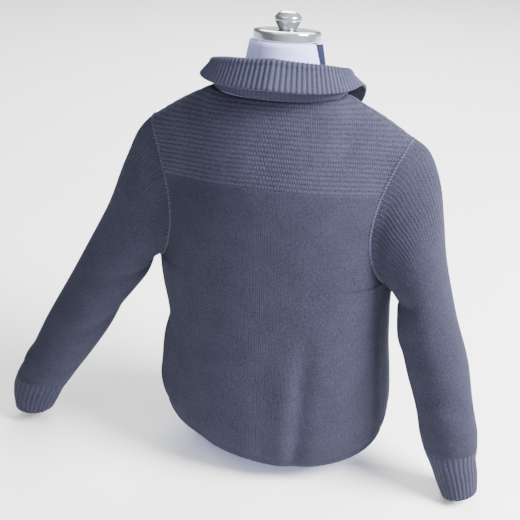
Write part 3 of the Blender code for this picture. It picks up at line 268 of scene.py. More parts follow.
KNOB_PROFILE = ((0.0, 0.0290), (0.0080, 0.0284), (0.0150, 0.0255), (0.0198, 0.0205), (0.0212, 0.0185),
                (0.0216, 0.0140), (0.0205, 0.0115), (0.0160, 0.0045), (0.0142, 0.0012), (0.0142, 0.0),
                (0.0, 0.0))
TURNED_STEPS = 96
CORNER_CUT = 0.0009
MERGE = 0.00002              # points of the form closer than this are one
FORM_EASE = rows_of("height ease",  # how far the form stays inside the cloth
    (0.026, 0.026),
    (0.060, 0.046),
    (0.110, 0.050),
    (0.230, 0.048),
    (0.385, 0.024),
)
NECK_ROWS = rows_of("share half_width half_depth forward height",
    (0.45, 0.078, 0.074, 0.002, 0.686),
    (0.75, 0.066, 0.064, 0.008, 0.712),
    (1.00, 0.0580, 0.0580, 0.014, NECK_TOP_HEIGHT),
)

# ---- colours ----
# each cloth's dark and light pair is mixed by stitch height, the dark being painted shade in the furrows, and
# by the yarn's own mottle
YARN_DARK = (0.008, 0.008, 0.014, 1.0)
YARN_LIGHT = (0.041, 0.042, 0.070, 1.0)
RIB_DARK = (0.019, 0.020, 0.035, 1.0)
RIB_LIGHT = (0.048, 0.050, 0.085, 1.0)
TAPE_DARK = (0.012, 0.013, 0.020, 1.0)
TAPE_LIGHT = (0.035, 0.038, 0.055, 1.0)
CUFF_LIGHT = (0.036, 0.037, 0.061, 1.0)
SEAM_LIGHT = (0.060, 0.062, 0.100, 1.0)
SHEEN_TINT = (0.62, 0.66, 0.90, 1.0)
COVER_DARK = (0.38, 0.39, 0.68, 1.0)
COVER_LIGHT = (0.48, 0.49, 0.85, 1.0)
COVER_SEAM = (0.20, 0.20, 0.28, 1.0)
DARK_SIDE_STRIP = (0.012, 0.014, 0.035, 1.0)
TEETH_DARK = (0.020, 0.022, 0.032, 1.0)
TEETH_LIGHT = (0.045, 0.048, 0.065, 1.0)
CHROME = (0.60, 0.61, 0.65, 1.0)
NICKEL = (0.62, 0.63, 0.66, 1.0)
FLOOR_DARK = (0.93, 0.93, 0.93, 1.0)
FLOOR_LIGHT = (0.96, 0.96, 0.96, 1.0)
KNIT_BUMP = 0.0009
DARK_STRIP_MIDDLE = 0.001       # its place along Y, on the form's right side
DARK_STRIP_HALF_WIDTH = 0.0125
DARK_STRIP_FROM = -0.048        # it shows only to the wearer's right of this
COVER_SEAM_ACROSS = 0.030
COVER_SEAM_HALF_WIDTH = 0.0006


# ---- shapes shared with the CAD ----
MIDDLES = {"back": BACK_MIDDLE, "front": FRONT_MIDDLE}


def smooth_step(value):
    """0 below 0, 1 above 1, and 3v^2 - 2v^3 between them."""
    value = np.clip(value, 0.0, 1.0)
    return value * value * (3.0 - 2.0 * value)


def unit(vectors):
    return vectors / np.maximum(np.linalg.norm(vectors, axis=-1, keepdims=True), 1e-12)


def facing(vectors, way):
    """The vectors, turned round where they point away from a way."""
    return vectors * np.sign(np.sum(vectors * way, axis=-1, keepdims=True))


def crowns(place):
    """1 at each whole number, 0 half way between, by a cosine."""
    return 0.5 + 0.5 * np.cos(2 * math.pi * place)


def through(places, values, at):
    """A smooth curve through the values at their places (cubic Hermite pieces), read at other places."""
    places = np.asarray(places, float)
    values = np.asarray(values, float)
    at = np.clip(np.asarray(at, float), places[0], places[-1])
    slopes = np.gradient(values, places, axis=0)
    piece = np.clip(np.searchsorted(places, at, side="right") - 1, 0, len(places) - 2)
    step = places[piece + 1] - places[piece]
    part = (at - places[piece]) / step
    if values.ndim > 1:
        step = step[..., None]
        part = part[..., None]
    start, end = values[piece], values[piece + 1]
    start_slope, end_slope = slopes[piece] * step, slopes[piece + 1] * step
    return (start * (2 * part**3 - 3 * part**2 + 1) + start_slope * (part**3 - 2 * part**2 + part)
            + end * (3 * part**2 - 2 * part**3) + end_slope * (part**3 - part**2))


def column(table, name, key, at):
    """One named column of a table, read as a smooth curve over its key column."""
    return through([getattr(row, key) for row in table], [getattr(row, name) for row in table], at)


def body_ring(height):
    """Half-width, back depth and front depth of the body's level ring at a height."""
    return [column(BODY_ROWS, name, "height", height) for name in ("half_width", "back_depth", "front_depth")]


def row_height(level):
    """Height of a row between the hem (level 0) and the armpits (level 1)."""
    return HEM_HEIGHT + (PIT_HEIGHT - HEM_HEIGHT) * level**ROW_CROWDING


def ring_point(angle, half_width, depth):
    """Point of a level ring at an angle from the side: a superellipse with its own depth front and back."""
    cosine, sine = np.cos(angle), np.sin(angle)
    power = 2.0 / RING_POWER
    across = half_width * np.sign(cosine) * np.abs(cosine) ** power
    behind = depth * np.abs(sine) ** power * np.sign(sine)
    return across, behind


def hem_lift(across, height):
    """The hem is lowest a little to the wearer's right of the middle and rises as a square to the sides."""
    share = ((across - HEM_LOWEST) / 0.25) ** 2
    return HEM_LIFT * share * (1.0 - smooth_step((height - HEM_HEIGHT) / HEM_BAND))


def ring_across(behind, half_width, back_depth, front_depth):
    """Half-width of a level ring at a place behind its middle."""
    share = np.abs(behind) / np.where(behind > 0.0, back_depth, front_depth)
    return half_width * np.clip(1.0 - share**RING_POWER, 0.0, 1.0) ** (1.0 / RING_POWER)


def ring_angle(behind, back_depth, front_depth):
    """Angle on a level ring of the place so far behind its middle."""
    share = np.abs(behind) / np.where(behind > 0.0, back_depth, front_depth)
    return np.arcsin(np.clip(share, 0.0, 1.0) ** (RING_POWER / 2.0)) * np.sign(behind)


def armhole_line(turn, panel, bow_share):
    """Armhole of one panel from the armpit (turn 0) to the shoulder tip (turn 1).

    Seen from the side it is half an oval; across, it leaves the level ring of the armpits slowly.
    """
    half_width, back_depth, front_depth = body_ring(PIT_HEIGHT)
    pit_behind = ring_point(math.radians(SIDE_SEAM_ANGLE), half_width, back_depth)[1]
    rise = (1.0 - np.cos(np.pi * turn)) / 2.0
    bow = np.sin(np.pi * turn) * bow_share
    behind = pit_behind + (SHOULDER_TIP[1] - pit_behind) * rise + ARMHOLE_REACH[panel] * bow
    tip_across = ring_across(np.array(SHOULDER_TIP[1]), half_width, back_depth, front_depth)
    across = (ring_across(behind, half_width, back_depth, front_depth)
              + (SHOULDER_TIP[0] - tip_across) * rise - ARMHOLE_INSET[panel] * bow**2.0)
    height = PIT_HEIGHT + (SHOULDER_TIP[2] - PIT_HEIGHT) * rise
    return across, behind, height


def row_end(turn, panel, bow_share):
    """Angle on the armpits' ring where an upper row ends: the armhole's own, then a set one."""
    own_angle = ring_angle(armhole_line(turn, panel, bow_share)[1], *body_ring(PIT_HEIGHT)[1:])
    set_angle = math.radians(ARMHOLE_EDGE_ANGLE) * (1.0 if panel == "back" else -1.0)
    return own_angle + (set_angle - own_angle) * smooth_step((turn - 0.10) / 0.50)


def base_rows(share, level, panel, opening, bow_share):
    """Rows of a panel before its top edge is set.

    share runs from 0 at the middle to 1 at the side, level from 0 at the hem over 1 at the armpit to 2.
    """
    sign = 1.0 if panel == "back" else -1.0
    middle = MIDDLES[panel]
    turn = np.clip(level - 1.0, 0.0, 1.0)
    ring_height = row_height(np.clip(level, 0.0, 1.0))
    half_width, back_depth, front_depth = body_ring(ring_height)
    depth = back_depth if panel == "back" else front_depth
    edge_across, edge_behind, edge_height = armhole_line(turn, panel, bow_share)
    # below the armpit the row ends at the side seam
    end_angle = np.where(level > 1.0, row_end(turn, panel, bow_share), math.radians(SIDE_SEAM_ANGLE))
    angle = sign * math.pi / 2 + (end_angle - sign * math.pi / 2) * share
    ring_depth = np.where(angle > 0, back_depth, depth)
    across, behind = ring_point(angle, half_width, ring_depth)
    end_across, end_behind = ring_point(end_angle, half_width, np.where(end_angle > 0, back_depth, depth))
    # above the armpit the row is stretched between the armhole and the middle of the panel
    rise = (1.0 - np.cos(np.pi * turn)) / 2.0
    middle_height = PIT_HEIGHT + (middle[-1].height - PIT_HEIGHT) * rise
    middle_depth = column(middle, "depth", "height", middle_height)
    upper_across = across * edge_across / end_across
    upper_behind = (edge_behind + (middle_depth - edge_behind)
                    * (behind - end_behind) / (sign * ring_depth - end_behind))
    upper_height = edge_height + (middle_height - edge_height) * (1.0 - share**2)
    above = level > 1.0
    x = np.where(above, upper_across, across)
    y = np.where(above, upper_behind, behind)
    z = np.where(above, upper_height, ring_height + 0.0 * share)
    if panel == "front" and opening:
        open_share = (z - ZIP_OPEN_HEIGHT) / (FRONT_MIDDLE[-1].height - ZIP_OPEN_HEIGHT)
        spread = np.clip(2.0 * smooth_step(open_share / 2.0), 0.0, 1.0)
        edge = FRONT_EDGE + (NECK_OPENING - FRONT_EDGE) * spread
        x = x + edge * (1.0 - share) ** 2
    return np.stack([x, y, z], axis=-1)


def top_edge(share, panel, opening):
    """Neckline from the middle to the neck point, a quarter of an ellipse, then the shoulder seam."""
    quarter = np.clip(share / NECK_SHARE, 0.0, 1.0) * math.pi / 2
    middle = MIDDLES[panel][-1]
    start = NECK_OPENING if panel == "front" and opening else 0.0
    x = start + (NECK_POINT[0] - start) * np.sin(quarter)
    y = NECK_POINT[1] + (middle.depth - NECK_POINT[1]) * np.cos(quarter)
    z = NECK_POINT[2] + (middle.height - NECK_POINT[2]) * np.cos(quarter) ** 1.4
    along = np.clip((share - NECK_SHARE) / (1.0 - NECK_SHARE), 0.0, 1.0)
    seam = [NECK_POINT[axis] + (SHOULDER_TIP[axis] - NECK_POINT[axis]) * along for axis in range(3)]
    seam[2] = seam[2] + SHOULDER_CROWN * np.sin(np.pi * along)
    neck = (share < NECK_SHARE)[..., None]
    return np.where(neck, np.stack([x, y, z], axis=-1), np.stack(seam, axis=-1))


def corner_rounding(share, turn, panel):
    """Rounds the corner that the rows have below the neck point: J/2 (sqrt(d^2 + e^2) - |d|) for each of
    X, Y and Z, where J is the jump of the top edge's slope there, d the share past the neck point, and e
    a softness that dies out towards the top edge.
    """
    middle = MIDDLES[panel][-1]
    rest = 1.0 - NECK_SHARE
    jump = np.array([(SHOULDER_TIP[0] - NECK_POINT[0]) / rest,
                     (SHOULDER_TIP[1] - NECK_POINT[1]) / rest
                     + (middle.depth - NECK_POINT[1]) * math.pi / 2 / NECK_SHARE,
                     (SHOULDER_TIP[2] - NECK_POINT[2] + SHOULDER_CROWN * math.pi) / rest])
    past = share - NECK_SHARE
    soft = CORNER_SOFTNESS * (1.0 - turn[..., 0]) ** 0.7
    window = smooth_step(share / 0.30) * smooth_step((1.0 - share) / 0.30)
    return ((np.sqrt(past**2 + soft**2) - np.abs(past)) * window / 2.0)[..., None] * jump


def panel_surface(share, level, panel, opening=True, bow_share=1.0):
    """Outer face of half a panel on the wearer's left: rows from the hem to the shoulder and neckline."""
    share, level = np.broadcast_arrays(share, level)
    base = base_rows(share, level, panel, opening, bow_share)
    last = base_rows(share, np.full_like(level, 2.0), panel, opening, bow_share)
    turn = np.clip(level - 1.0, 0.0, 1.0)[..., None]
    # the top edge is worked in late across and behind, and early in height, which rounds the shoulder
    weight = np.concatenate([turn**3, turn**3, turn**TOP_RISE_POWER], axis=-1)
    return base + weight * (top_edge(share, panel, opening) - last + corner_rounding(share, turn, panel))


def folded(points, normals, panel):
    """Moves a panel's points along their normals by the largest folds and pinches."""
    x, z = points[..., 0], points[..., 2]
    half_width = body_ring(np.clip(z, HEM_HEIGHT, PIT_HEIGHT))[0]
    move = np.zeros_like(z)
    for fold in FOLDS:
        if fold.panel != panel:
            continue
        middle = fold.side * (fold.across * half_width + fold.lean * (z - fold.low))
        along = smooth_step((z - fold.low + 0.03) / 0.06) * smooth_step((fold.high - z) / 0.10)
        move += fold.depth * np.exp(-((x - middle) / fold.width) ** 2) * along
    for pinch in PINCHES:
        near = np.exp(-((z - pinch.height) / pinch.reach) ** 2)
        side = smooth_step((pinch.side * x / half_width - 0.80) / 0.20)
        move += pinch.depth * near * side
    return points + normals * move[..., None]


def surface_normals(points):
    """Unit normals of a grid of points, from its rows and columns."""
    return unit(np.cross(np.gradient(points, axis=1), np.gradient(points, axis=0)))


def upper_turns(panel):
    """Turns of the rows above the armpit: even in height in the middle, and along the armhole at the side."""
    fine = np.linspace(0.0, 1.0, 401)
    length = path_length(np.stack(armhole_line(fine, panel, 1.0), axis=-1))
    return np.arccos(1.0 - 2.0 * UPPER_RISES) / math.pi, np.interp(UPPER_RISES * length[-1], length, fine)


def panel_grid(panel):
    """Shares and levels of a panel's grid, whose columns run on straight from below the armpit."""
    share = panel_shares()[None]
    middle, side = (turns[1:, None] for turns in upper_turns(panel))
    turn = middle * (1.0 - share**2) + side * share**2
    start = math.pi / 2 if panel == "back" else -math.pi / 2
    lead = (math.radians(SIDE_SEAM_ANGLE) - start) / (row_end(turn, panel, 1.0) - start)
    lead = 1.0 + (lead - 1.0) * (1.0 - smooth_step((turn - 0.3) / 0.5))
    kept = share * (lead + (1.0 - lead) * share ** (COLUMN_KEEPING[panel] - 1.0))
    low = np.linspace(0.0, 1.0, ROWS_BELOW + 1)[:, None] + 0.0 * share
    return np.concatenate([share + 0.0 * low, kept]), np.concatenate([low, 1.0 + turn])


def panel_shares(neck=COLUMNS_NECK, shoulder=COLUMNS_SHOULDER):
    """Shares of a row's columns: so many steps under the neckline, then so many under the shoulder."""
    under_neck = np.linspace(0.0, NECK_SHARE, neck + 1)
    return np.concatenate([under_neck, np.linspace(NECK_SHARE, 1.0, shoulder + 1)[1:]])


def mirrored(points):
    return points * np.array([-1.0, 1.0, 1.0])


def lifted(points):
    """Raises the hem on the wearer's right."""
    result = points.copy()
    result[..., 2] += hem_lift(points[..., 0], points[..., 2])
    return result


def body_panels():
    """Outer points and inward directions of the back and the two fronts, with shared seam directions.

    Columns run from the wearer's right to the left on the back, and from the middle to the side on a
    front.  Returns panel name -> (points, normals).
    """
    back_half = panel_surface(*panel_grid("back"), "back")
    front_half = panel_surface(*panel_grid("front"), "front")
    back = lifted(np.concatenate([mirrored(back_half[:, :0:-1]), back_half], axis=1))
    front_left = lifted(front_half)
    front_right = lifted(mirrored(front_half))
    for grid in (back, front_left, front_right):
        relaxed(grid)
    normals = {"back": -surface_normals(back), "front_left": surface_normals(front_left),
               "front_right": -surface_normals(front_right)}
    points = {"back": back, "front_left": front_left, "front_right": front_right}
    rise = np.concatenate([np.zeros(ROWS_BELOW), UPPER_RISES])
    calm = (1.0 - smooth_step((rise - 0.58) / 0.35))[:, None, None]
    for name, grid in points.items():
        points[name] = folded(grid, normals[name], name.split("_")[0])
    join = COLUMNS_NECK
    for name, side in (("front_left", -1), ("front_right", 0)):
        below = slice(0, ROWS_BELOW + 1)
        shared = unit(normals["back"][below, side] + normals[name][below, -1])
        place = (points["back"][below, side] + points[name][below, -1]) / 2
        normals["back"][below, side] = normals[name][below, -1] = shared
        points["back"][below, side] = points[name][below, -1] = place
        top_back = normals["back"][-1] if side == -1 else normals["back"][-1, ::-1]
        top_front = normals[name][-1]
        shared = unit(top_back[-COLUMNS_SHOULDER - 1:] + top_front[join:])
        top_back[-COLUMNS_SHOULDER - 1:] = top_front[join:] = shared
    for name in points:
        points[name] = settled(points[name], normals[name] * calm)
    panels = {name: (points[name], normals[name]) for name in points}
    mitre_neckline(panels)
    for name in panels:
        eased(normals[name][::-1])
    return panels


def relaxed(points):
    """Rounds the bend that a panel has at the armpits' level, and leaves the panel's side edges alone.

    Each step moves a point along its normal, half of the way to the middle of the points over and under it.
    """
    away = np.arange(len(points)) - ROWS_BELOW
    near = smooth_step(1.0 - np.where(away < 0, -away / RELAX_BELOW, away / RELAX_ABOVE))
    share = panel_shares()
    edge = smooth_step((1.0 - share) / 0.10)
    edge = np.concatenate([edge[:0:-1], edge]) if points.shape[1] > len(edge) else edge
    weight = near[1:-1, None] * edge / 2.0
    for _ in range(RELAX_STEPS):
        normals = surface_normals(points)[1:-1]
        short = (points[:-2] + points[2:]) / 2.0 - points[1:-1]
        points[1:-1] += normals * (weight * np.sum(short * normals, axis=-1))[..., None]


def settled(points, normals):
    """Slow uneven swells of worn cloth: sine waves of three directions, along the normals."""
    x, y, z = points[..., 0], points[..., 1], points[..., 2]
    move = sum(np.sin(along_x * x + along_y * y + along_z * z + start)
               for along_x, along_y, along_z, start in SWELLS)
    return points + normals * (SETTLED_DEPTH * move / len(SWELLS))[..., None]


def eased(grid):
    """Turns the directions in the rows next to a grid's first row towards that row's."""
    for step in range(1, EASE_STEPS):
        share = smooth_step(step / EASE_STEPS)
        grid[step] = unit(grid[step] * share + grid[0] * (1.0 - share))


def neckline_slices():
    """Columns of each panel's top row that are neckline, from the left front round the back."""
    middle = COLUMNS_NECK + COLUMNS_SHOULDER
    return (("front_left", slice(0, COLUMNS_NECK + 1)),
            ("back", slice(middle + COLUMNS_NECK, middle - COLUMNS_NECK - 1, -1)),
            ("front_right", slice(COLUMNS_NECK, None, -1)))


def level_outwards(line):
    """Level directions across a line round the neck, pointing away from it."""
    tangent = unit(np.gradient(line, axis=0) * np.array([1.0, 1.0, 0.0]))
    return facing(np.cross(tangent, [0.0, 0.0, 1.0]), line - NECK_MIDDLE)


def mitre_neckline(panels):
    """Turns the wall's direction at the neckline half way from the panel's to the standing collar's."""
    slices = neckline_slices()
    parts = [panels[name][0][-1, columns] for name, columns in slices]
    line = np.concatenate([parts[0], parts[1][1:-1], parts[2]])
    outwards = level_outwards(line)
    last = COLUMNS_NECK
    spans = (slice(0, last + 1), slice(last, 3 * last + 1), slice(3 * last, 4 * last + 1))
    for (name, columns), span in zip(slices, spans):
        normals = panels[name][1]
        normals[-1, columns] = unit(normals[-1, columns] + outwards[span])


def armhole_loop(panels, side):
    """Closed loop of the armhole: armpit, up the back, tip, down the front.

    Returns the points, the panels' normals there, and points inside the panels next to them.
    """
    edge, beside = (-1, -2) if side > 0 else (0, 1)
    name = "front_left" if side > 0 else "front_right"
    back_points, back_normals = panels["back"]
    front_points, front_normals = panels[name]
    low, before = slice(ROWS_BELOW, None), slice(ROWS_BELOW - 1, -1)
    points = np.concatenate([back_points[low, edge], front_points[low, -1][-2:0:-1]])
    normals = np.concatenate([back_normals[low, edge], front_normals[low, -1][-2:0:-1]])
    within = np.concatenate([back_points[before, beside], front_points[before, -2][-2:0:-1]])
    return points, normals, within


def folded_seam(points, within, beyond, normals, other_normals):
    """Direction of the walls' shared end faces along a closed seam, and the way across the seam.

    The end faces halve the angle between the two cloths, which may fold right back on each other:
    both the sum of the normals and the sum of the ways into the cloths lie in the halving plane.
    """
    along = unit(np.roll(points, -1, axis=0) - np.roll(points, 1, axis=0))

    def square(vectors):
        return unit(vectors - along * np.sum(vectors * along, axis=1, keepdims=True))

    first, second = square(within - points), square(beyond - points)
    inward_fold = np.sign(np.sum(square(normals) * second, axis=1, keepdims=True))
    shared = square(square(normals) + square(other_normals) + inward_fold * (first + second))
    return shared, facing(np.cross(along, shared), second - first)


def tube_rings(table, shares, angle, side):
    """Rings between the line under the arm and the line over it, as ellipses at the given angles."""
    shares = np.asarray(shares)
    under = column(table, "under", "share", shares)[:, None]
    over = column(table, "over", "share", shares)[:, None]
    half_depth = column(table, "half_depth", "share", shares)[:, None, None]
    angle = angle[None, :, None]
    middle, half = (under + over) / 2, (over - under) / 2
    along = unit(np.gradient(middle, axis=0))
    backwards = facing(unit(np.cross(unit(half), along)), [0.0, 1.0, 0.0])
    rings = middle + half * np.sin(angle) + backwards * half_depth * np.cos(angle)
    return rings if side > 0 else mirrored(rings)


def clear_of_body(points):
    """A sleeve along the side is pressed flat by it: across is at least the body's own half-width."""
    height = np.clip(points[..., 2], HEM_HEIGHT, PIT_HEIGHT)
    half_width, depth, _ = body_ring(height)
    part = np.clip(1.0 - np.abs(points[..., 1] / depth) ** RING_POWER, 0.0, 1.0)
    least = half_width * part ** (1.0 / RING_POWER) + SLEEVE_CLEARANCE
    weight = smooth_step((PIT_HEIGHT + SLEEVE_CLEAR_ABOVE - points[..., 2]) / SLEEVE_CLEAR_ABOVE)
    result = points.copy()
    across = np.abs(points[..., 0])
    short = least - across
    push = (short + np.hypot(short, SLEEVE_SOFTNESS)) / 2 * weight
    result[..., 0] = np.sign(points[..., 0]) * (across + push)
    return result


def wrinkled(rings, normals, shares, angle, side):
    """Moves the rings along their normals by the sleeve's largest wrinkles."""
    turn = np.degrees(angle)[None, :]
    move = np.zeros(rings.shape[:2])
    for wrinkle in WRINKLES:
        if wrinkle.sleeve != side:
            continue
        away = np.radians((turn - wrinkle.turn + 180.0) % 360.0 - 180.0)
        line = wrinkle.share + wrinkle.slope * np.sin(away)
        move += (wrinkle.depth * np.exp(-((shares[:, None] - line) / wrinkle.width) ** 2)
                 * smooth_step(1.0 - np.abs(away) / 1.9))
    return rings + normals * move[..., None]


def closed_normals(rings, side):
    """Outward unit normals of rings that close on themselves."""
    around = np.roll(rings, -1, axis=1) - np.roll(rings, 1, axis=1)
    along = np.gradient(rings, axis=0)
    return unit(np.cross(along, around)) * -side


def sleeve_surface(panels, side):
    """Rings from the armhole to the cuff, their outward directions, and the way across the armhole seam."""
    loop, loop_normals, within = armhole_loop(panels, side)
    table = SLEEVE_LEFT if side > 0 else SLEEVE_RIGHT
    shares = np.linspace(0.0, 1.0, SLEEVE_ROWS + 1) ** SLEEVE_CROWDING
    back, front = (upper_turns(panel)[1] ** (1.0 / ARMHOLE_CROWDING) for panel in ("back", "front"))
    angle = math.pi * np.concatenate([back - 0.5, 1.5 - front[-2:0:-1]])
    tube = tube_rings(table, shares, angle, side)
    hold = 1.0 - smooth_step(shares / SLEEVE_SET_SHARE)
    rings = tube + (loop - tube[0])[None] * hold[:, None, None]
    rings = clear_of_body(rings)
    rings[0] = loop
    normals = closed_normals(rings, side)
    normals[0], across = folded_seam(loop, within, rings[1], loop_normals, normals[0])
    fade = smooth_step(shares / 0.1)[:, None, None] * smooth_step((1.0 - shares) / 0.06)[:, None, None]
    moved = wrinkled(rings, normals, shares, angle, side)
    rings = rings + (moved - rings) * fade
    return rings, normals, across


def pulled_back(points, first, last):
    """Draws the ends of a grid's rows back by half a seam, along the cloth."""
    result = points.copy()
    if first:
        result[0] += unit(points[1] - points[0]) * SEAM / 2
    if last:
        result[-1] += unit(points[-2] - points[-1]) * SEAM / 2
    return result


def read_loop(loop, count):
    """Reads a closed line of points, which may carry other values, at count equal steps of its length."""
    line = np.concatenate([loop, loop[:1]])
    length = path_length(line[:, :3])
    at = np.linspace(0.0, length[-1], count + 1)[:count]
    return np.stack([np.interp(at, length, line[:, axis]) for axis in range(line.shape[1])], axis=-1)


def neckline(panels):
    """Neckline from the left front end round the back to the right front end, cut into rib columns.

    Every point of the panels' own edges is kept, so that the collar follows them exactly.
    """
    parts = []
    for name, columns in neckline_slices():
        points, normals = panels[name]
        edge = np.concatenate([points[-1, columns], normals[-1, columns]], axis=-1)
        part = np.arange(COLLAR_STEPS) / COLLAR_STEPS
        cut = edge[:-1, None] + (edge[1:] - edge[:-1])[:, None] * part[None, :, None]
        parts.append(cut.reshape(-1, 6))
    return np.concatenate(parts + [edge[-1:]])


def collar_profile(turn):
    """Out and up of each step of the collar, from the neckline over the roll to the free edge.

    The stand leans a little, the roll is half a circle, and the fall is a straight band.
    """
    stand, fall, spread, lean = (column(COLLAR_ROWS, name, "turn", turn)[None, :]
                                 for name in ("stand", "fall", "spread", "lean"))
    up_steps = np.linspace(0.0, 1.0, STAND_STEPS + 1)[:-1, None]
    roll = np.linspace(math.pi, 0.0, ROLL_STEPS + 1)[:, None]
    down_steps = np.linspace(0.0, 1.0, FALL_STEPS + 1)[1:, None]
    out = np.concatenate([lean * up_steps, lean + COLLAR_ROLL * (1.0 + np.cos(roll)) + 0.0 * stand,
                          lean + 2 * COLLAR_ROLL + spread * down_steps])
    up = np.concatenate([stand * up_steps, stand + COLLAR_ROLL * np.sin(roll), stand - fall * down_steps])
    return out, up


def smoothed(directions):
    """Directions averaged with their neighbours, which rounds the corners of a broken line."""
    padded = np.pad(directions, ((COLLAR_SMOOTHING, COLLAR_SMOOTHING), (0, 0)), mode="edge")
    return unit(sum(padded[step:step + len(directions)] for step in range(2 * COLLAR_SMOOTHING + 1)))


def zip_line(panels, front):
    """Rows of a front from the zip's foot up: edge points, the same on the inside, way under the front."""
    points, normals = panels[front]
    height = points[:, 0, 2]
    rows = slice(int(np.searchsorted(height, height[0] + ZIP_FOOT)),
                 int(np.searchsorted(height, height[-1] - ZIP_HEAD)))
    inside = points[rows] - normals[rows] * WALL
    under = unit(inside[:, 1] - inside[:, 0])
    return points[rows, 0], inside[:, 0], under


def form_grid():
    """Shares and levels of the form's own coarser grid."""
    low = np.linspace(0.0, 1.0, FORM_ROWS_BELOW + 1)
    high = 1.0 + np.linspace(0.0, 1.0, FORM_ROWS_ARMHOLE + 1)[1:]
    return panel_shares(FORM_COLUMNS_NECK, FORM_COLUMNS_SHOULDER), np.concatenate([low, high])


def form_half(panel):
    """Cloth's base shape over half the form, with a flatter armhole and no opening, and its normals."""
    shares, levels = form_grid()
    points = panel_surface(shares[None], levels[:, None], panel, opening=False, bow_share=FORM_BOW_SHARE)
    normals = surface_normals(points)
    return points, normals if panel == "front" else -normals


def form_rings():
    """Closed rings from the lowest cloth ring to the shoulders, and the loop round the neck."""
    back, back_normals = form_half("back")
    front, front_normals = form_half("front")
    shares, levels = form_grid()
    side, neck_end = slice(0, FORM_ROWS_BELOW + 1), FORM_COLUMNS_NECK
    shared = unit(back_normals[side, -1] + front_normals[side, -1])
    back_normals[side, -1] = front_normals[side, -1] = shared
    shared = unit(back_normals[-1, neck_end:] + front_normals[-1, neck_end:])
    back_normals[-1, neck_end:] = front_normals[-1, neck_end:] = shared
    low_ease = column(FORM_EASE, "ease", "height", row_height(np.clip(levels, 0.0, 1.0)))[:, None]
    turn = smooth_step(levels - 1.0)[:, None]
    least = FORM_CLEARANCE + FORM_NECK_EASE * (1.0 - smooth_step(shares / NECK_SHARE))[None, :]
    move = (WALL + low_ease * (1.0 - turn) + least * turn)[..., None]
    back, front = back - back_normals * move, front - front_normals * move
    back[:, 0, 0] = front[:, 0, 0] = 0.0
    middle = (back[:, -1:] + front[:, -1:]) / 2
    half = np.concatenate([back, middle, front[:, ::-1]], axis=1)
    rings = np.concatenate([half, mirrored(half[:, -2:0:-1])], axis=1)
    neck = np.concatenate([back[-1, :neck_end + 1], front[-1, neck_end - 1::-1]])
    return rings, np.concatenate([neck, mirrored(neck[-2:0:-1])])


# ---- walls as meshes ----
def wall_faces(rows, columns, closed):
    """Quads of a closed wall: the outer grid, the inner grid turned round, and rims between their edges."""
    count = rows * columns
    number = np.arange(count).reshape(rows, columns)
    if closed:
        number = wrapped(number)
    face = quads(number)

    def rim(line):
        return np.stack([line[1:], line[:-1], line[:-1] + count, line[1:] + count], axis=-1)

    rims = [rim(number[0]), rim(number[-1, ::-1])]
    if not closed:
        rims += [rim(number[::-1, 0]), rim(number[:, -1])]
    return np.concatenate([face, (face + count)[:, ::-1]] + rims)


def linked(name, data):
    """New object in the scene."""
    thing = bpy.data.objects.new(name, data)
    bpy.context.scene.collection.objects.link(thing)
    return thing


def smooth_piece(name, mesh, material):
    """Smooth piece of one material that rides on the sweater's body."""
    mesh.polygons.foreach_set("use_smooth", [True] * len(mesh.polygons))
    mesh.materials.append(material)
    mesh.update()
    piece = linked(name, mesh)
    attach(piece, BODY)
    return piece


def mesh_piece(name, points, faces, coordinates, material):
    """Piece from arrays of points, faces and each point's place on the knit, with its faces outwards."""
    mesh = bpy.data.meshes.new(name)
    mesh.from_pydata(points.tolist(), [], faces if isinstance(faces, list) else faces.tolist())
    if signed_volume(mesh) < 0.0:
        mesh.flip_normals()
    if coordinates is not None:
        corner = np.empty(len(mesh.loops), dtype=np.int32)
        mesh.loops.foreach_get("vertex_index", corner)
        layer = mesh.uv_layers.new(name="knit")
        layer.data.foreach_set("uv", coordinates[corner].ravel())
    return smooth_piece(name, mesh, material)


def signed_volume(mesh):
    """Volume inside a mesh, negative where its faces point in: the sum of its triangles' wedges."""
    mesh.calc_loop_triangles()
    place = np.empty(len(mesh.vertices) * 3)
    mesh.vertices.foreach_get("co", place)
    corner = np.empty(len(mesh.loop_triangles) * 3, dtype=np.int32)
    mesh.loop_triangles.foreach_get("vertices", corner)
    first, second, third = place.reshape(-1, 3)[corner].reshape(-1, 3, 3).transpose(1, 0, 2)
    return np.sum(first * np.cross(second, third))


def cloth_piece(name, outer, inner, coordinates, material, closed=False):
    """Wall of cloth between two grids, with the same knit coordinates on both faces."""
    rows, columns = outer.shape[:2]
    points = np.concatenate([outer.reshape(-1, 3), inner.reshape(-1, 3)])
    flat = coordinates.reshape(-1, 2)
    return mesh_piece(name, points, wall_faces(rows, columns, closed), np.concatenate([flat, flat]), material)


def cord_piece(name, path, sideways, outwards, material):
    """Closed oval cord along a loop: its half-width times the cosine sideways, its half-height times the
    sine outwards.  It swells and narrows along its length, as oversewn stitches do.
    """
    length = path_length(path)
    around = np.arange(CORD_SIDES) / CORD_SIDES * 2 * math.pi
    swell = (1.0 + CORD_SWELL * np.cos(2 * math.pi * length / OVERSEWN_PITCH))[:, None, None]
    rings = path[:, None] + swell * (sideways[:, None] * CORD_HALF_WIDTH * np.cos(around)[None, :, None]
                                     + outwards[:, None] * CORD_HALF_HEIGHT * np.sin(around)[None, :, None])
    number = wrapped(np.arange(rings.shape[0] * CORD_SIDES).reshape(-1, CORD_SIDES))
    number = np.concatenate([number, number[:1]], axis=0)
    coordinates = on_knit(around * CORD_HALF_WIDTH, length[:, None])
    return mesh_piece(name, rings.reshape(-1, 3), quads(number), coordinates.reshape(-1, 2), material)


def wrapped(number):
    """A grid of point numbers, closed round by its first column."""
    return np.concatenate([number, number[:, :1]], axis=1)


def on_knit(across, up):
    """Places on the knit, from the places across and the places up."""
    return np.stack(np.broadcast_arrays(across, up), axis=-1)


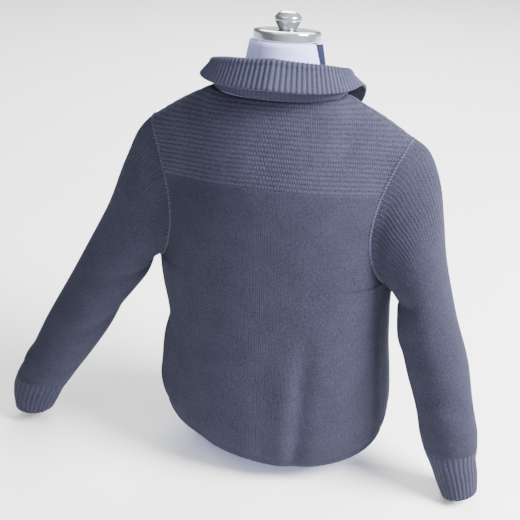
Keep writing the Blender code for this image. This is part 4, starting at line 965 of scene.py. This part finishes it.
def quads(number):
    """Faces between the neighbours of a grid of point numbers."""
    corner = (number[:-1, :-1], number[:-1, 1:], number[1:, 1:], number[1:, :-1])
    return np.stack(corner, axis=-1).reshape(-1, 4)


def path_length(path):
    """Length along a path from its first point to each of its points."""
    return np.concatenate([[0.0], np.cumsum(np.linalg.norm(np.diff(path, axis=0), axis=1))])


def read_path(values, path, step):
    """Reads arrays of values that belong to a path's points again at even steps of its length."""
    length = path_length(path)
    at = np.linspace(0.0, length[-1], max(int(length[-1] / step), 2) + 1)
    return [np.stack([np.interp(at, length, value[:, axis]) for axis in range(value.shape[1])], axis=-1)
            for value in values]


# ---- the sweater ----
def panel_coordinates(name, points):
    """Place on the knit: across by whole stitch columns from the middle, up by the length of the cloth.

    Above the armpit that is the length of the panel's middle line at the same height, so that the
    courses run level across the yoke, apart from a slight droop, and the shoulder seams cut them off.
    """
    middle = MIDDLES[name.split("_")[0]]
    heights = np.linspace(PIT_HEIGHT, 0.75, 200)
    length = path_length(np.stack([heights, column(middle, "depth", "height", heights)], axis=-1))
    up = PIT_HEIGHT + np.interp(points[..., 2], heights, length) + YOKE_DROOP * points[..., 0] ** 2
    below = row_height(np.linspace(0.0, 1.0, ROWS_BELOW + 1))
    droop = YOKE_DROOP * points[ROWS_BELOW, :, 0] ** 2
    up[:ROWS_BELOW + 1] = below[:, None] + droop * smooth_step(below / PIT_HEIGHT)[:, None]
    half = np.arange(COLUMNS_NECK + COLUMNS_SHOULDER + 1) * WALE / 2
    across = np.concatenate([-half[:0:-1], half]) if name == "back" else half
    return on_knit(across, up)


def wale_relief(coordinates):
    """Height of the knit: ridges up the body, and rows across it from the yoke line up."""
    across, up = coordinates[..., 0], coordinates[..., 1]
    yoke = smooth_step((up - YOKE_FROM) / YOKE_FADE)
    wales, courses = crowns(across / WALE), 1.0 - crowns((up - PIT_HEIGHT) / COURSE)
    return WALE_RELIEF * wales * (1.0 - yoke) + COURSE_RELIEF * courses * yoke


def make_body(panels, across_seams, material):
    """Back and fronts as walls, with the knit raised on the outside and less so on the inside."""
    below, above = slice(0, ROWS_BELOW + 1), slice(ROWS_BELOW, None)
    made = []
    for name, (points, normals) in panels.items():
        points = pulled_back(points, False, True)
        sides = pulled_back(points[below].swapaxes(0, 1), name == "back", True)
        points[below] = sides.swapaxes(0, 1)
        for edge, across in across_seams[name]:
            points[above, edge] -= across * SEAM / 2
        coordinates = panel_coordinates(name, points)
        relief = wale_relief(coordinates)[..., None]
        relief[-1], relief[:, 0], relief[:, -1] = 0.0, 0.0, 0.0
        made.append(cloth_piece(name + "_knit", points + normals * relief,
                                points - normals * (WALL - relief * 0.5), coordinates, material))
        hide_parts(name)
    return made


def even_columns(rings, normals, across):
    """Reads a sleeve's rings again in columns that are even along the armhole seam."""
    length = path_length(np.concatenate([rings[0], rings[:1, 0]]))
    at = np.interp(np.arange(SLEEVE_COLUMNS) / SLEEVE_COLUMNS * length[-1], length, np.arange(len(length)))
    first, part = at.astype(int), (at % 1.0)[:, None]
    after = (first + 1) % rings.shape[1]
    rings, normals, across = (grid[..., first, :] * (1.0 - part) + grid[..., after, :] * part
                              for grid in (rings, normals, across))
    return rings, unit(normals), unit(across)


def make_sleeve(name, rings, normals, across, material):
    """Sleeve as a tube: broad ridges leave the armhole and die out, and stitch columns run on to the cuff."""
    columns = np.arange(SLEEVE_COLUMNS)
    down = path_length(rings[:, 0])[:, None] * 0.5 + path_length(rings[:, SLEEVE_COLUMNS // 2])[:, None] * 0.5
    eased(normals)
    normals = normals.copy()
    calm = smooth_step(down / 0.04) * smooth_step((down[-1] - down) / 0.04)
    rings = settled(rings, normals * calm[..., None])
    points = pulled_back(rings, False, True)
    points[0] += across * SEAM / 2
    broad, fine = crowns(columns / CAP_COLUMNS), crowns(columns / 2)
    fade = smooth_step((down - 0.035) / 0.10)
    start = smooth_step(down / 0.008)
    relief = (start * (CAP_RELIEF * broad * (1.0 - fade) + WALE_RELIEF * 0.8 * fine * fade))[..., None]
    relief[-1] = 0.0
    coordinates = on_knit(columns * WALE / 2, -down)
    piece = cloth_piece(name + "_knit", points + normals * relief, points - normals * WALL, coordinates,
                        material, closed=True)
    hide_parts(name)
    return piece


def make_cuff(name, sleeve_rings, sleeve_normals, side, material):
    """Ribbed tube from the sleeve's end to the open mouth, its ribs raised by a cosine round it."""
    table = CUFF_LEFT if side > 0 else CUFF_RIGHT
    count = CUFF_RIBS * CUFF_POINTS_PER_RIB
    shares = np.linspace(0.0, 1.0, CUFF_ROWS + 1)
    angle = np.arange(count) / count * 2 * math.pi - math.pi / 2
    rings = tube_rings(table, shares, angle, side)
    loop = read_loop(np.concatenate([sleeve_rings[-1], sleeve_normals[-1]], axis=-1), count)
    rings = rings + (loop[None, :, :3] - rings[:1]) * (1.0 - smooth_step(shares / 0.18))[:, None, None]
    normals = closed_normals(rings, side)
    normals[0] = unit(loop[:, 3:])
    eased(normals)
    phase = np.arange(count) / CUFF_POINTS_PER_RIB
    ribs = (1.0 - crowns(phase)) * smooth_step(shares / 0.10)[:, None]
    sway = 1.0 + 0.2 * np.sin(9.0 * shares[:, None] + 1.9 * np.sin(phase * 0.9)[None, :])
    relief = (CUFF_RELIEF * ribs * sway)[..., None]
    points = pulled_back(rings, True, False)
    coordinates = on_knit(phase * RIB_PITCH, -path_length(rings[:, 0])[:, None])
    piece = cloth_piece(name + "_rib", points + normals * relief, points - normals * (WALL - relief * 0.6),
                        coordinates, material, closed=True)
    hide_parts(name)
    return piece


def make_collar(panels, material):
    """Ribbed collar: its profile carried round the neckline, with ribs on both faces by a cosine."""
    base = neckline(panels)
    count = len(base)
    points, shared = base[:, :3], unit(base[:, 3:])
    outwards = smoothed(level_outwards(points))
    turn = np.abs(np.linspace(-1.0, 1.0, count))
    out, up = collar_profile(turn)
    middle = points[None] + outwards[None] * out[..., None] + np.array([0.0, 0.0, 1.0]) * up[..., None]
    face = surface_normals(middle)
    face = face * -np.sign(np.sum(face[STAND_STEPS // 2] * outwards, axis=-1).mean())
    phase = np.arange(count) / COLLAR_POINTS_PER_RIB
    ribs = 1.0 - crowns(phase)[None, :]
    along = np.concatenate([[0.0], np.cumsum(np.linalg.norm(np.diff(middle, axis=0), axis=-1).mean(axis=1))])
    start = smooth_step(along / 0.006)[:, None]
    relief = (RIB_RELIEF * ribs * start)[..., None]
    back_relief = (RIB_RELIEF * 0.7 * (1.0 - ribs) * start)[..., None]
    plain = middle - face * (WALL / 2 + back_relief)
    ribbed = middle + face * (WALL / 2 + relief)
    # at the neckline the wall stands across the end of the panels' walls
    seat = (1.0 - smooth_step(along / 0.010))[:, None, None]
    plain = plain + (points - plain[0]) * seat
    ribbed = ribbed + (points - shared * WALL - ribbed[0]) * seat
    plain, ribbed = (pulled_back(grid, True, False) for grid in (plain, ribbed))
    coordinates = on_knit(phase * RIB_PITCH, along[:, None])
    piece = cloth_piece("collar_rib", ribbed, plain, coordinates, material)
    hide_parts("collar")
    return piece


def make_seam_cords(loops, material):
    """Raised oversewn cords along the armhole seams."""
    made = []
    for word, loop in loops.items():
        closed = [np.concatenate([grid, grid[:1]]) for grid in loop]
        path, outwards, sideways = read_path(closed, closed[0], CORD_STEP)
        path, outwards, sideways = path[:-1], unit(outwards[:-1]), unit(sideways[:-1])
        path = path + outwards * CORD_LIFT
        made.append(cord_piece("armhole_cord_" + word, path, sideways, outwards, material))
    return made


# ---- zip ----
def make_zip(panels, tape_material, teeth_material):
    """Tapes behind the fronts' edges and a row of rounded teeth on each, meeting where the zip is closed."""
    tapes, teeth = [], []
    for side, word in ((1, "left"), (-1, "right")):
        edge, inside, under = zip_line(panels, "front_" + word)
        edge, inside, under = read_path([edge, inside, under], inside, ZIP_STEP)
        under = unit(under)
        up = unit(np.gradient(inside, axis=0))
        inwards = facing(unit(np.cross(under, up)), [0.0, 1.0, 0.0])
        level = facing(unit(np.cross([side, 0.0, 0.0], up)), [0.0, 1.0, 0.0])
        seat = inside + inwards * (SEAM + TAPE_THICKNESS / 2)
        tip = seat - under * (FRONT_EDGE - SEAM / 2)
        tip[:, 0] = side * np.maximum(np.abs(inside[:, 0]) - FRONT_EDGE + SEAM / 2, SEAM / 2)
        out = np.array([side, 0.0, 0.0])
        near = tip + out * TEETH_WIDTH * 0.5
        far = seat + under * (TAPE_WIDTH - FRONT_EDGE)
        share = np.linspace(0.0, 1.0, TAPE_COLUMNS)[:, None, None]
        line = (near[None] * (1.0 - share) + far[None] * share).transpose(1, 0, 2)
        coordinates = on_knit(share[:, 0, 0] * TAPE_WIDTH, path_length(inside)[:, None])
        tape = cloth_piece("zip_tape_" + word, line - inwards[:, None] * TAPE_THICKNESS / 2,
                           line + inwards[:, None] * TAPE_THICKNESS / 2, coordinates, tape_material)
        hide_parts("zip_" + word)
        teeth.append(make_teeth("zip_teeth_" + word, tip, up, level, side, teeth_material))
        tapes.append(tape)
    return tapes, teeth


def make_teeth(name, tip, up, level, side, material):
    """One rounded tooth, an oval block that narrows to its tip, set along the tape at an even pitch."""
    pitch = int(round(TOOTH_PITCH / ZIP_STEP))
    start = 0 if side > 0 else pitch // 2
    at = np.arange(start + 2, len(tip) - 2, pitch)
    angle = np.arange(TOOTH_SIDES) / TOOTH_SIDES * 2 * math.pi
    # across from the tip, and the section's half height and half depth there
    stations = np.array(((-0.0004, 0.00030, 0.0006), (-0.0001, 0.00062, 0.0011), (0.0012, 0.00070, 0.0014),
                         (0.0024, 0.00075, 0.0014), (0.0034, 0.00060, 0.0011), (0.0036, 0.00030, 0.0006)))
    across = np.array([side, 0.0, 0.0])
    rings = (tip[at][:, None, None] + across * stations[None, :, None, :1]
             + up[at][:, None, None] * stations[None, :, None, 1:2] * np.sin(angle)[None, None, :, None]
             + level[at][:, None, None] * stations[None, :, None, 2:] * np.cos(angle)[None, None, :, None])
    teeth, rows, columns = rings.shape[:3]
    number = wrapped(np.arange(rows * columns).reshape(rows, columns))
    sides = quads(number)
    ends = [number[0, -2::-1], number[-1, :-1]]
    shift = np.arange(teeth)[:, None, None] * rows * columns
    faces = (sides[None] + shift).reshape(-1, 4).tolist()
    for end in ends:
        faces += (end[None] + shift[:, 0]).tolist()
    return mesh_piece(name, rings.reshape(-1, 3), faces, None, material)


# ---- dress form ----
def make_form(material):
    """Torso and neck as one closed surface: rings up the body, then ovals that rise to the leaning neck."""
    rings, loop = form_rings()
    foot = np.stack([rings[0] * [share, share, 0.0] + [0.0, 0.0, height] for height, share in FORM_FOOT])
    body = np.concatenate([foot, rings])
    angle = np.arange(len(loop)) / len(loop) * 2 * math.pi
    neck = [loop]
    for row in NECK_ROWS:
        across, behind = row.half_width * np.sin(angle), row.half_depth * np.cos(angle)
        rise = behind * math.tan(math.radians(NECK_TILT)) * row.share
        oval = np.stack([across, behind - row.forward, row.height + rise], axis=-1)
        blend = smooth_step((row.share + 0.35) / 1.1)
        neck.append(loop * (1.0 - blend) + oval * blend)
    places = [0.0] + [row.share for row in NECK_ROWS]
    shares = np.linspace(0.0, 1.0, FORM_NECK_ROWS + 1)
    neck = through(places, np.stack(neck).reshape(len(places), -1), shares).reshape(len(shares), -1, 3)
    work = bmesh.new()
    grids = [[[work.verts.new(point) for point in row] for row in grid.tolist()] for grid in (body, neck)]
    for grid in grids:
        for low, high in zip(grid[:-1], grid[1:]):
            for step in range(len(low)):
                after = (step + 1) % len(low)
                work.faces.new((low[step], low[after], high[after], high[step]))
    work.faces.new(grids[0][0])
    work.faces.new(grids[1][-1])
    bmesh.ops.remove_doubles(work, verts=work.verts, dist=MERGE)
    bmesh.ops.dissolve_degenerate(work, edges=work.edges, dist=MERGE)
    throat = [vert for vert in work.verts if vert.co.z > THROAT_ABOVE and vert.co.y < THROAT_BEFORE]
    for _ in range(THROAT_STEPS):
        bmesh.ops.smooth_vert(work, verts=throat, factor=0.5,
                              use_axis_x=True, use_axis_y=True, use_axis_z=True)
    bmesh.ops.recalc_face_normals(work, faces=work.faces)
    mesh = bpy.data.meshes.new("form_cover")
    work.to_mesh(mesh)
    work.free()
    piece = smooth_piece("form_cover", mesh, material)
    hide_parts("form_torso")


def make_turned(name, node, profile, lift, material):
    """Turned piece on the neck's leaning top: each point of the profile is run round as a circle."""
    radius, height = (value[:, None] for value in rounded_profile(profile).T)
    angle = (np.arange(TURNED_STEPS) / TURNED_STEPS * 2 * math.pi)[None]
    points = np.stack([radius * np.cos(angle), radius * np.sin(angle), height + 0.0 * angle], axis=-1)
    tilt = math.radians(NECK_TILT)
    top = NECK_ROWS[-1]
    place = np.array([0.0, -top.forward - math.sin(tilt) * lift, top.height + math.cos(tilt) * lift])
    points = points @ np.array(Matrix.Rotation(tilt, 3, "X")).T + place
    number = wrapped(np.arange(points.shape[0] * TURNED_STEPS).reshape(-1, TURNED_STEPS))
    faces = quads(number).tolist() + [number[0, -2::-1].tolist(), number[-1, :-1].tolist()]
    piece = mesh_piece(name, points.reshape(-1, 3), faces, None, material)
    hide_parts(node)


def rounded_profile(profile):
    """Profile with its corners cut three times over, at most about a millimetre along each stretch."""
    line = np.array(profile)
    for _ in range(3):
        length = np.linalg.norm(np.diff(line, axis=0), axis=1, keepdims=True)
        part = np.minimum(0.25, CORNER_CUT / np.maximum(length, 1e-6))
        cut = np.concatenate([line[:-1] * (1.0 - part) + line[1:] * part,
                              line[:-1] * part + line[1:] * (1.0 - part)], axis=1)
        line = np.concatenate([line[:1], cut.reshape(-1, 2), line[-1:]])
    line[:, 0] = np.maximum(line[:, 0], 0.0004)
    return line[1:-1]


# ---- finishes ----
class Signal:
    """A number inside a material or sky. Python's operators on it add Math nodes."""

    def __init__(self, socket):
        self.socket, self.tree = socket, socket.id_data

    def apply(self, operation, *others):
        """One Math node on this number and the others."""
        node = self.tree.nodes.new("ShaderNodeMath")
        node.operation = operation
        for entry, value in zip(node.inputs, (self, *others)):
            feed(entry, value)
        return Signal(node.outputs[0])

    def __add__(self, other):
        return self.apply("ADD", other)

    def __sub__(self, other):
        return self.apply("SUBTRACT", other)

    def __mul__(self, other):
        return self.apply("MULTIPLY", other)

    def __truediv__(self, other):
        return self.apply("DIVIDE", other)

    def __pow__(self, other):
        return self.apply("POWER", other)


def feed(entry, value):
    """Links a signal or socket to a node's input, or sets the input to a plain value."""
    value = getattr(value, "socket", value)
    if hasattr(value, "is_output"):
        entry.id_data.links.new(value, entry)
    else:
        entry.default_value = value


def mixed(share, first, second):
    """Colour between two others."""
    node = share.tree.nodes.new("ShaderNodeMix")
    node.data_type = "RGBA"
    for entry, value in zip([entry for entry in node.inputs if entry.enabled], (share, first, second)):
        feed(entry, value)
    return [socket for socket in node.outputs if socket.enabled][0]


def noise(place, scale, detail=2.0):
    node = place.id_data.nodes.new("ShaderNodeTexNoise")
    node.inputs["Scale"].default_value = scale
    node.inputs["Detail"].default_value = detail
    feed(node.inputs["Vector"], place)
    return Signal(node.outputs["Fac"])


def split(vector):
    """X, Y and Z of a vector."""
    node = vector.id_data.nodes.new("ShaderNodeSeparateXYZ")
    feed(node.inputs[0], vector)
    return [Signal(socket) for socket in node.outputs]


def ridge(value):
    """A rounded ridge over each whole step: the sine of pi times the fraction."""
    return (value.apply("FRACT") * math.pi).apply("SINE")


def waves(value, length):
    """Sine waves of a length, of height -1 to 1."""
    return (value * (2 * math.pi / length)).apply("SINE")


def over_least(value, least):
    """A number from 0 to 1, squeezed to start at a least value."""
    return value * (1.0 - least) + least


def clamped(value):
    return value.apply("MAXIMUM", 0.0).apply("MINIMUM", 1.0)


def stocking_stitch(across, up):
    """Height of stocking stitch: in each wale two legs slant up from its middle, each a rounded yarn."""
    away = ((across / WALE + 0.5).apply("FRACT") - 0.5).apply("ABSOLUTE") * 2.0
    leg = (away * math.pi).apply("SINE")
    return leg ** 0.6 * over_least(ridge(up / STITCH_HEIGHT - away * 0.75), 0.35)


def purl_rows(across, up):
    """Height of purl rows: bars across the cloth, beaded by the stitches, every second row shifted."""
    course = (up - PIT_HEIGHT) / COURSE
    bead = ridge(across / WALE + course.apply("FLOOR") * 0.5)
    return over_least(ridge(course), 0.45) * over_least(bead, 0.35)


def body_stitch(across, up):
    """Height of stocking stitch, with purl rows from the yoke line up."""
    yoke = clamped((up - YOKE_FROM) / YOKE_FADE)
    return stocking_stitch(across, up) * (yoke * -1.0 + 1.0) + purl_rows(across, up) * yoke


def rib_stitch(across, up):
    """Height of a rib: stocking stitch down each rib, lower in the furrows between the ribs."""
    rib = across / RIB_PITCH
    crown = (rib * (2 * math.pi)).apply("COSINE") * -0.5 + 0.5
    return over_least(crown, 0.45) * over_least(stocking_stitch(rib * WALE, up), 0.55)


def oversewn(across, up):
    """Height of slanting loops along a seam."""
    return ridge(up / OVERSEWN_PITCH + across * 120.0)


def twill(across, up):
    """Height of fine slanting lines of a woven tape."""
    return waves(up + across, 0.0011) * 0.5 + 0.5


def new_finish(name, settings):
    """Material whose shader has these settings; with the shader and the place on the object."""
    material = bpy.data.materials.new(name)
    material.use_nodes = True
    nodes = material.node_tree.nodes
    shader = nodes["Principled BSDF"]
    for title, value in settings.items():
        shader.inputs[title].default_value = value
    return material, shader, nodes.new("ShaderNodeTexCoord").outputs["Object"]


def bumped(shader, height, distance, strength):
    node = height.tree.nodes.new("ShaderNodeBump")
    node.inputs["Strength"].default_value = strength
    node.inputs["Distance"].default_value = distance
    feed(node.inputs["Height"], height)
    feed(shader.inputs["Normal"], node.outputs["Normal"])


def cloth_finish(name, stitch, dark, light, depth=KNIT_BUMP, roughness=0.95):
    """Cloth of a stitch: dark furrows of painted shade to light crowns, in a mottled yarn, with fuzz and
    bump.
    """
    material, shader, place = new_finish(name, {
        "Roughness": roughness, "Specular IOR Level": 0.12, "Sheen Weight": 0.06, "Sheen Roughness": 0.45,
        "Sheen Tint": SHEEN_TINT})
    source = material.node_tree.nodes.new("ShaderNodeUVMap")
    source.uv_map = "knit"
    height = stitch(*split(source.outputs["UV"])[:2])
    mottle, patches = noise(place, 420.0, 4.0) - 0.5, noise(place, 22.0) - 0.5
    # painted shade: the colour darkens with the stitch height into the furrows; the mottle and the patches
    # are the yarn's own uneven tone
    furrow_shade_and_mottle = height * 0.75 + 0.10 + mottle * 1.5 + patches * 0.35
    feed(shader.inputs["Base Color"], mixed(clamped(furrow_shade_and_mottle), dark, light))
    bumped(shader, height + noise(place, 2600.0) * 0.25, depth, 1.0)
    return material


def mottled_finish(name, scale, first, second, settings):
    """Smooth stuff mottled between two colours; with its shader and the place on the object."""
    material, shader, place = new_finish(name, settings)
    feed(shader.inputs["Base Color"], mixed(noise(place, scale), first, second))
    return material, shader, place


def metal_finish(name, colour, roughness, scratch):
    """Plated metal: even colour, with smudges in its roughness."""
    dull = tuple(0.9 * value for value in colour[:3]) + (1.0,)
    material, shader, place = mottled_finish(name, 60.0, colour, dull, {"Metallic": 1.0})
    feed(shader.inputs["Roughness"], noise(place, 45.0, 4.0) * scratch + roughness)
    return material


def cover_finish():
    """Form's pale cover: a fine jersey with a thin seam beside the middle of the back, and a dark strip
    up the right side.
    """
    material, shader, place = new_finish("form_jersey", {"Roughness": 0.75, "Specular IOR Level": 0.06})
    x, y, z = split(place)
    seam = (x - COVER_SEAM_ACROSS).apply("ABSOLUTE").apply("LESS_THAN", COVER_SEAM_HALF_WIDTH)
    # a dark strip painted on the cover along the wearer's right side of the neck
    dark_strip = ((y - DARK_STRIP_MIDDLE).apply("ABSOLUTE").apply("LESS_THAN", DARK_STRIP_HALF_WIDTH)
               * x.apply("LESS_THAN", DARK_STRIP_FROM))
    tone = mixed(noise(place, 18.0), COVER_DARK, COVER_LIGHT)
    tone = mixed(seam * 0.55, tone, COVER_SEAM)
    feed(shader.inputs["Base Color"], mixed(dark_strip, tone, DARK_SIDE_STRIP))
    bumped(shader, waves(z, 0.0016) * waves(x + y, 0.0014) * 0.5 + 0.5, 0.0002, 0.35)
    return material


# ---- stage, light and camera ----
def make_stage():
    """Floor as one large square under the form."""
    mesh = bpy.data.meshes.new("floor")
    reach = 12.0
    mesh.from_pydata([(-reach, -reach, 0.0), (reach, -reach, 0.0), (reach, reach, 0.0), (-reach, reach, 0.0)],
                     [], [(0, 1, 2, 3)])
    mesh.materials.append(mottled_finish("pale_floor", 1.5, FLOOR_DARK, FLOOR_LIGHT, {"Roughness": 0.9})[0])
    floor = linked("floor", mesh)


def area_light(name, place, aim, size, power, colour):
    lamp = bpy.data.lights.new(name, "AREA")
    lamp.shape = "DISK"
    lamp.size = size
    lamp.energy = power
    lamp.color = colour
    holder = linked(name, lamp)
    holder.location = place
    holder.rotation_euler = (Vector(aim) - Vector(place)).to_track_quat("-Z", "Y").to_euler()


def make_light():
    """Large soft light from behind the wearer's right shoulder, weak fills, and a sky paler on that side."""
    area_light("key", (-2.4, 0.45, 2.3), (0.0, 0.0, 0.5), 1.6, 560.0, (1.0, 0.98, 1.0))
    area_light("fill", (0.8, 1.6, 3.0), (0.0, 0.0, 0.5), 2.5, 25.0, (0.96, 0.97, 1.0))
    area_light("front", (0.4, -2.6, 2.4), (0.0, 0.0, 0.4), 2.2, 130.0, (1.0, 0.99, 0.98))
    world = bpy.data.worlds.new("pale_sky")
    world.use_nodes = True
    tree = world.node_tree
    sky = tree.nodes["Background"]
    sky.inputs["Color"].default_value = (0.95, 0.97, 1.0, 1.0)
    towards = tree.nodes.new("ShaderNodeVectorMath")
    towards.operation = "DOT_PRODUCT"
    towards.inputs[1].default_value = (-0.72, 0.16, 0.67)
    tree.links.new(tree.nodes.new("ShaderNodeTexCoord").outputs["Generated"], towards.inputs[0])
    lit = (Signal(towards.outputs["Value"]) + 0.35).apply("MAXIMUM", 0.0)
    feed(sky.inputs["Strength"], lit * 1.10 + 0.32)
    bpy.context.scene.world = world


def make_camera():
    """Camera behind the wearer, a little to their right, above shoulder height and tilted down."""
    around, distance, height = math.radians(11.7), 1.5, 1.155
    pitch, yaw, roll = math.radians(27.6), math.radians(1.2), math.radians(1.2)
    place = Vector((-distance * math.sin(around), distance * math.cos(around), height))
    facing = Vector((math.sin(around), -math.cos(around), 0.0))
    facing.rotate(Matrix.Rotation(yaw, 3, "Z"))
    right = facing.cross(Vector((0.0, 0.0, 1.0)))
    forward = facing * math.cos(pitch) - Vector((0.0, 0.0, 1.0)) * math.sin(pitch)
    upward = right.cross(forward)
    side = right * math.cos(roll) + upward * math.sin(roll)
    top = upward * math.cos(roll) - right * math.sin(roll)
    lens = bpy.data.cameras.new("photo_view")
    lens.sensor_width = 36.0
    lens.lens = 67.98
    lens.clip_end = 60.0
    camera = linked("photo_view", lens)
    camera.matrix_world = Matrix(((side.x, top.x, -forward.x, place.x), (side.y, top.y, -forward.y, place.y),
                                  (side.z, top.z, -forward.z, place.z), (0.0, 0.0, 0.0, 1.0)))
    bpy.context.scene.camera = camera


# ---- making ----
def main():
    make_camera()
    make_stage()
    make_light()
    body_knit = cloth_finish("slate_knit_body", body_stitch, YARN_DARK, YARN_LIGHT)
    sleeve_knit = cloth_finish("slate_knit_sleeve", stocking_stitch, YARN_DARK, YARN_LIGHT)
    seam = cloth_finish("slate_seam", oversewn, YARN_DARK, SEAM_LIGHT)
    rib = cloth_finish("slate_rib_collar", rib_stitch, RIB_DARK, RIB_LIGHT)
    cuff_rib = cloth_finish("slate_rib_cuff", rib_stitch, YARN_DARK, CUFF_LIGHT)
    weave = cloth_finish("zip_tape_weave", twill, TAPE_DARK, TAPE_LIGHT, 0.0002, 0.85)
    plastic = mottled_finish("zip_teeth_plastic", 300.0, TEETH_DARK, TEETH_LIGHT, {"Roughness": 0.38})[0]
    panels = body_panels()
    across_seams = {name: [] for name in panels}
    loops, sleeves, cuffs = {}, [], []
    turns = np.arange(len(UPPER_RISES))
    for side, word in ((1, "left"), (-1, "right")):
        rings, normals, across = sleeve_surface(panels, side)
        loops[word] = (rings[0], normals[0].copy(), across)
        for name, edge in (("back", -1 if side > 0 else 0), ("front_" + word, -1)):
            order = turns if name == "back" else -turns
            grid = panels[name][1]
            grid[ROWS_BELOW:, edge] = normals[0][order]
            eased(grid[ROWS_BELOW:].swapaxes(0, 1)[::-1 if edge else 1])
            across_seams[name].append((edge, across[order]))
        rings, normals, across = even_columns(rings, normals, across)
        sleeves.append(make_sleeve("sleeve_" + word, rings, normals, across, sleeve_knit))
        cuffs.append(make_cuff("cuff_" + word, rings, normals, side, cuff_rib))
    body = make_body(panels, across_seams, body_knit)
    collar = make_collar(panels, rib)
    cords = make_seam_cords(loops, seam)
    tapes, teeth = make_zip(panels, weave, plastic)
    make_form(cover_finish())
    chrome = metal_finish("polished_chrome", CHROME, 0.05, 0.10)
    make_turned("neck_cap_turned", "neck_cap", CAP_PROFILE, SEAM, chrome)
    make_turned("neck_knob_turned", "neck_knob", KNOB_PROFILE, 2 * SEAM + CAP_PROFILE[0][1], chrome)
    nickel = metal_finish("satin_nickel", NICKEL, 0.22, 0.15)
    for node in ("zip_slider", "zip_pull"):
        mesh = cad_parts[node].data
        mesh.materials.clear()
        mesh.materials.append(nickel)


main()
